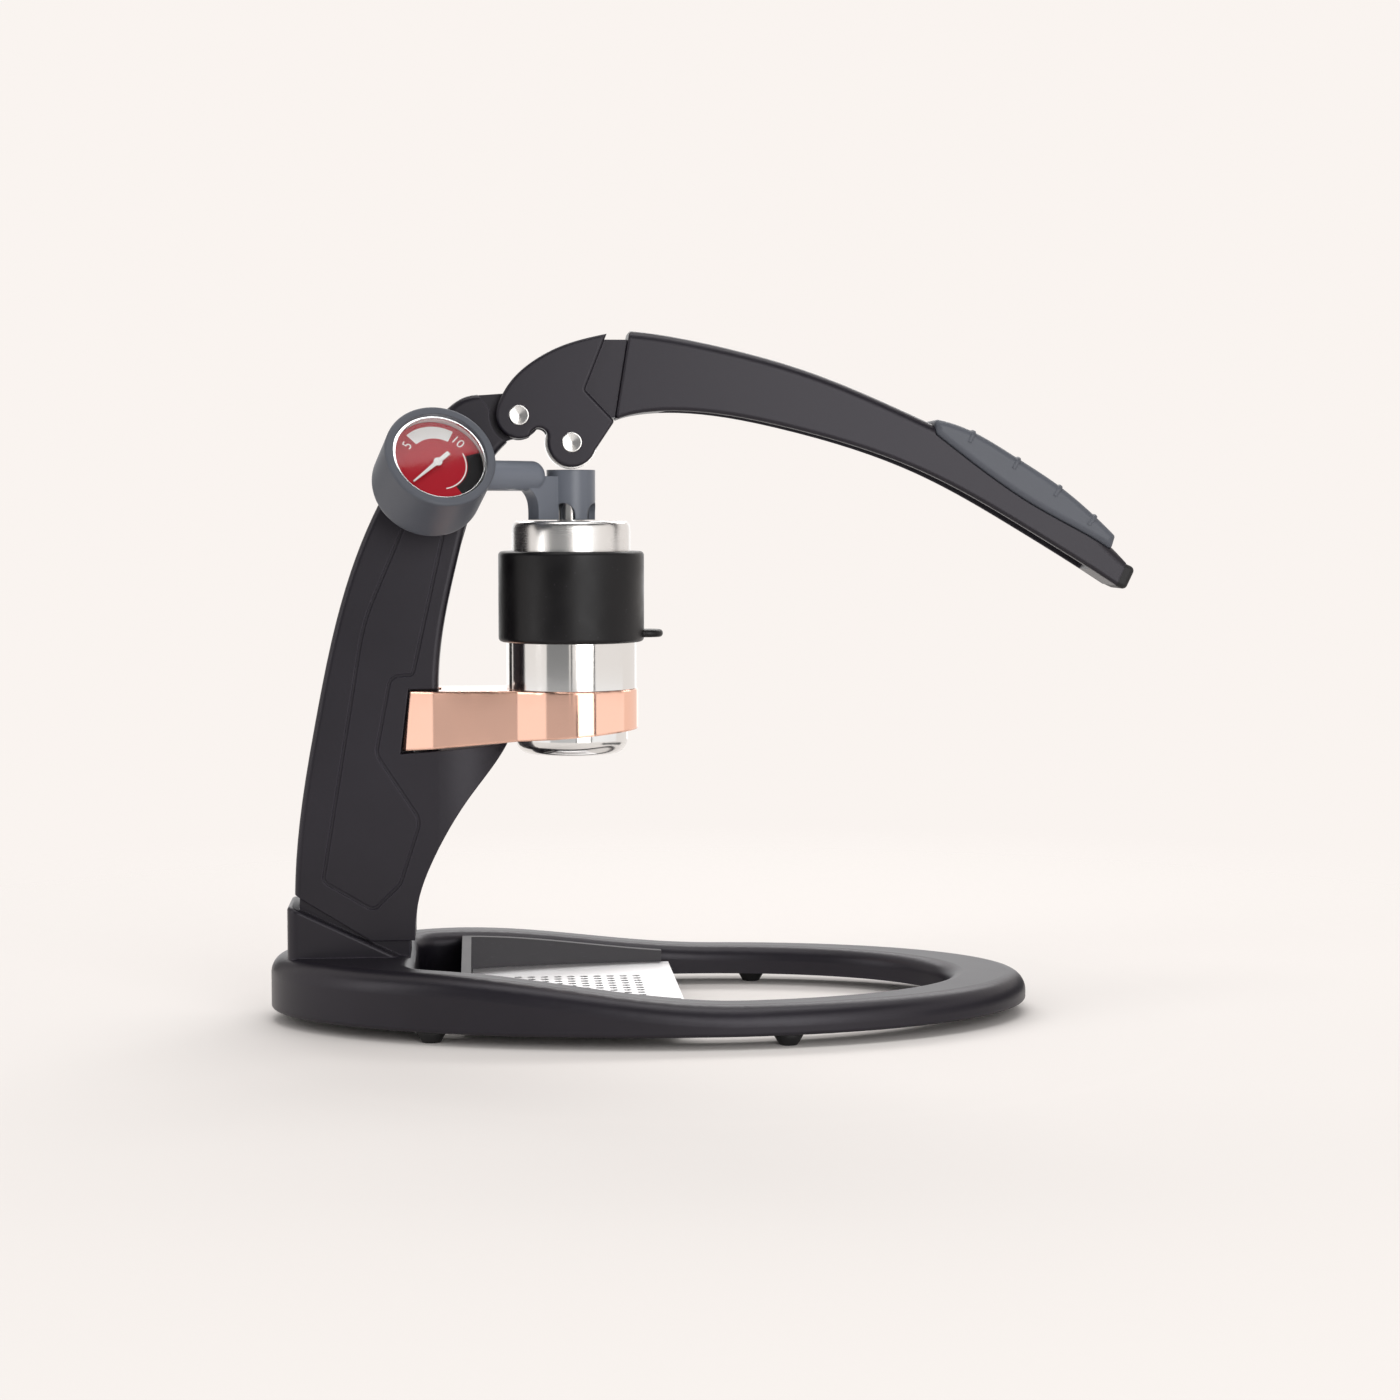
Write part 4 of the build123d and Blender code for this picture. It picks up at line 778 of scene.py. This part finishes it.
class ESPRESSO_OT_gauge(bpy.types.Operator):
    """Case, bezel, lens, needle and works of the gauge"""

    bl_idname = "espresso.gauge"
    bl_label = "Gauge"

    def execute(self, context):
        colours = context.scene.espresso_colours
        chrome = turned_finish("chrome", colours.chrome, gauge_facing, dial_centre, roughness=0.03)
        dress(case_finish("case chrome", colours.chrome, colours.dial_white), "gauge_case")
        dress(chrome, "gauge_bezel")
        dress(lens_finish("clear lens"), "gauge_lens")
        dress(painted_finish("needle white", colours.dial_white, roughness=0.34), "gauge_needle")
        brass = turned_finish("brass", colours.brass, gauge_facing, dial_centre, roughness=0.24)
        dress(brass, "bourdon_tube", "gauge_movement")
        return {"FINISHED"}


def numeral(text, angle, sizes, material):
    """Numeral printed on the dial, its top turned to the rim."""
    curve = bpy.data.curves.new("numeral_" + text, "FONT")
    curve.body = text
    curve.size = sizes.numeral_height
    curve.align_x = "CENTER"
    curve.align_y = "CENTER"
    shaped = bpy.data.objects.new("shaped_" + text, curve)
    bpy.context.scene.collection.objects.link(shaped)
    ready = bpy.context.evaluated_depsgraph_get()
    mesh = bpy.data.meshes.new_from_object(shaped.evaluated_get(ready))
    bpy.data.objects.remove(shaped)
    outward = gauge_right * cos(angle) + gauge_up * sin(angle)
    across = outward.cross(gauge_facing)
    front = dial_centre + gauge_facing * NUMERAL_LIFT
    spot = front + outward * sizes.numeral_radius
    turn = Matrix((across, outward, gauge_facing)).transposed().to_4x4()
    mesh.transform(Matrix.Translation(spot) @ turn)
    piece = bpy.data.objects.new("dial_numeral_" + text, mesh)
    bpy.context.scene.collection.objects.link(piece)
    piece.data.materials.clear()
    piece.data.materials.append(material)
    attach(piece, "gauge")


class ESPRESSO_OT_dial(bpy.types.Operator):
    """Printed dial with its plain numerals"""

    bl_idname = "espresso.dial"
    bl_label = "Dial"

    def execute(self, context):
        colours = context.scene.espresso_colours
        sizes = context.scene.espresso_dial
        dress(dial_finish("dial print", colours, sizes), "gauge_dial")
        ink = painted_finish("numeral white", colours.dial_white, roughness=0.4)
        for text, angle in NUMERALS.items():
            numeral(text, radians(angle), sizes, ink)
        return {"FINISHED"}


def soft_lamp(name, spot, target, width, height, power):
    """Area lamp turned to a target and hidden from the camera."""
    data = bpy.data.lights.new(name, "AREA")
    data.shape = "RECTANGLE"
    data.size = width
    data.size_y = height
    data.energy = power
    lamp = bpy.data.objects.new(name, data)
    bpy.context.scene.collection.objects.link(lamp)
    lamp.location = spot
    lamp.rotation_euler = (Vector(target) - Vector(spot)).to_track_quat("-Z", "Y").to_euler()
    lamp.visible_camera = False


def reflector(name, start, end, low, high, reach, tone):
    """Upright curved card round the brew axis that is seen only in mirrored light."""
    mesh = bpy.data.meshes.new(name)
    shaped = bmesh.new()
    rows = []
    for step in range(CARD_STEPS + 1):
        angle = radians(start + (end - start) * step / CARD_STEPS)
        x = brew_centre.x + reach * sin(angle)
        y = brew_centre.y - reach * cos(angle)
        rows.append((shaped.verts.new((x, y, low)), shaped.verts.new((x, y, high))))
    for first, second in zip(rows, rows[1:]):
        shaped.faces.new((first[0], second[0], second[1], first[1]))
    shaped.to_mesh(mesh)
    shaped.free()
    card = bpy.data.objects.new(name, mesh)
    bpy.context.scene.collection.objects.link(card)
    material = bpy.data.materials.new(name + " tone")
    material.use_nodes = True
    glow = Graph(material.node_tree)
    glow.show(glow.node("ShaderNodeEmission", None, {"Color": (tone, tone, tone, 1.0)}))
    mesh.materials.append(material)
    card.visible_camera = False
    card.visible_diffuse = False
    card.visible_shadow = False
    card.visible_transmission = False


def floor_disc(setup):
    """Round floor that takes the machine's shadow and fades into the background."""
    mesh = bpy.data.meshes.new("floor")
    shaped = bmesh.new()
    bmesh.ops.create_circle(shaped, cap_ends=True, segments=FLOOR_SEGMENTS, radius=setup.ground_radius)
    shaped.to_mesh(mesh)
    shaped.free()
    floor = bpy.data.objects.new("floor", mesh)
    bpy.context.scene.collection.objects.link(floor)
    finish = Finish("floor")
    reach = finish.off_axis(Vector((0.0, 0.0, 0.0)), UP)
    finish.surface({"Base Color": opaque(setup.ground), "Roughness": 0.9, "Specular IOR Level": 0.0})
    clear = finish.node("ShaderNodeBsdfTransparent")
    gone = finish.between(reach, FADE_START * setup.ground_radius, FADE_END * setup.ground_radius)
    finish.show(finish.node("ShaderNodeMixShader", None, {0: gone, 1: finish.shaded(), 2: clear}))
    mesh.materials.append(finish.material)


def studio_world(setup):
    """Soft light from all round, with the ground's colour for what the camera, mirrors or glass see."""
    world = bpy.data.worlds.new("studio")
    world.use_nodes = True
    bpy.context.scene.world = world
    sky = Graph(world.node_tree)
    direct = sky.node("ShaderNodeLightPath", output="Is Camera Ray")
    rays = direct.socket.node.outputs
    mirrored = Wire(sky, rays["Is Glossy Ray"])
    through = Wire(sky, rays["Is Transmission Ray"])
    soft = sky.node("ShaderNodeBackground", None, {"Color": (1, 1, 1, 1), "Strength": setup.fill})
    seen = sky.node("ShaderNodeBackground", None, {"Color": opaque(setup.ground), "Strength": 1.0})
    looks = direct + mirrored + through
    sky.show(sky.node("ShaderNodeMixShader", None, {0: looks, 1: soft, 2: seen}), "World Output")


def photo_camera(setup):
    """Camera at the photo's viewing angle."""
    data = bpy.data.cameras.new("camera")
    data.lens = setup.lens
    data.sensor_width = SENSOR_WIDTH
    data.clip_end = CAMERA_REACH
    camera = bpy.data.objects.new("camera", data)
    bpy.context.scene.collection.objects.link(camera)
    camera.location = CAMERA_SPOT
    camera.rotation_euler = [radians(turn) for turn in CAMERA_TURN]
    bpy.context.scene.camera = camera


class ESPRESSO_OT_stage(bpy.types.Operator):
    """Floor, background, lamps, cards and camera"""

    bl_idname = "espresso.stage"
    bl_label = "Stage"

    def execute(self, context):
        setup = context.scene.espresso_stage
        powers = {
            "key_lamp": setup.key_power,
            "top_lamp": setup.top_power,
            "strip_lamp": setup.strip_power,
            "back_lamp": setup.back_power,
        }
        floor_disc(setup)
        studio_world(setup)
        for name, (spot, target, width, height) in LAMPS.items():
            soft_lamp(name, spot, target, width, height, powers[name])
        for name, card in CARDS.items():
            reflector(name, *card)
        photo_camera(setup)
        context.scene.view_settings.view_transform = "Standard"
        return {"FINISHED"}


OPERATORS = (
    ESPRESSO_OT_castings,
    ESPRESSO_OT_tray,
    ESPRESSO_OT_rubber,
    ESPRESSO_OT_brew_group,
    ESPRESSO_OT_pins,
    ESPRESSO_OT_plunger,
    ESPRESSO_OT_gauge,
    ESPRESSO_OT_dial,
    ESPRESSO_OT_stage,
)


class ESPRESSO_PT_dressing(bpy.types.Panel):
    """Pieces, colours and sizes of the espresso maker"""

    bl_idname = "ESPRESSO_PT_dressing"
    bl_label = "Lever espresso maker"
    bl_space_type = "VIEW_3D"
    bl_region_type = "UI"
    bl_category = "Espresso"

    def draw(self, context):
        scene = context.scene
        for group in (scene.espresso_colours, scene.espresso_dial, scene.espresso_stage):
            box = self.layout.box()
            for name in group.__annotations__:
                box.prop(group, name)
        for operator in OPERATORS:
            self.layout.operator(operator.bl_idname)


CLASSES = (FinishColours, DialSizes, StageSetup, *OPERATORS, ESPRESSO_PT_dressing)


def register():
    for known in CLASSES:
        bpy.utils.register_class(known)
    bpy.types.Scene.espresso_colours = bpy.props.PointerProperty(type=FinishColours)
    bpy.types.Scene.espresso_dial = bpy.props.PointerProperty(type=DialSizes)
    bpy.types.Scene.espresso_stage = bpy.props.PointerProperty(type=StageSetup)


def unregister():
    del bpy.types.Scene.espresso_stage
    del bpy.types.Scene.espresso_dial
    del bpy.types.Scene.espresso_colours
    for known in reversed(CLASSES):
        bpy.utils.unregister_class(known)


def main():
    register()
    bpy.ops.espresso.castings()
    bpy.ops.espresso.tray()
    bpy.ops.espresso.rubber()
    bpy.ops.espresso.brew_group()
    bpy.ops.espresso.pins()
    bpy.ops.espresso.plunger()
    bpy.ops.espresso.gauge()
    bpy.ops.espresso.dial()
    bpy.ops.espresso.stage()


if __name__ == "__main__":
    main()
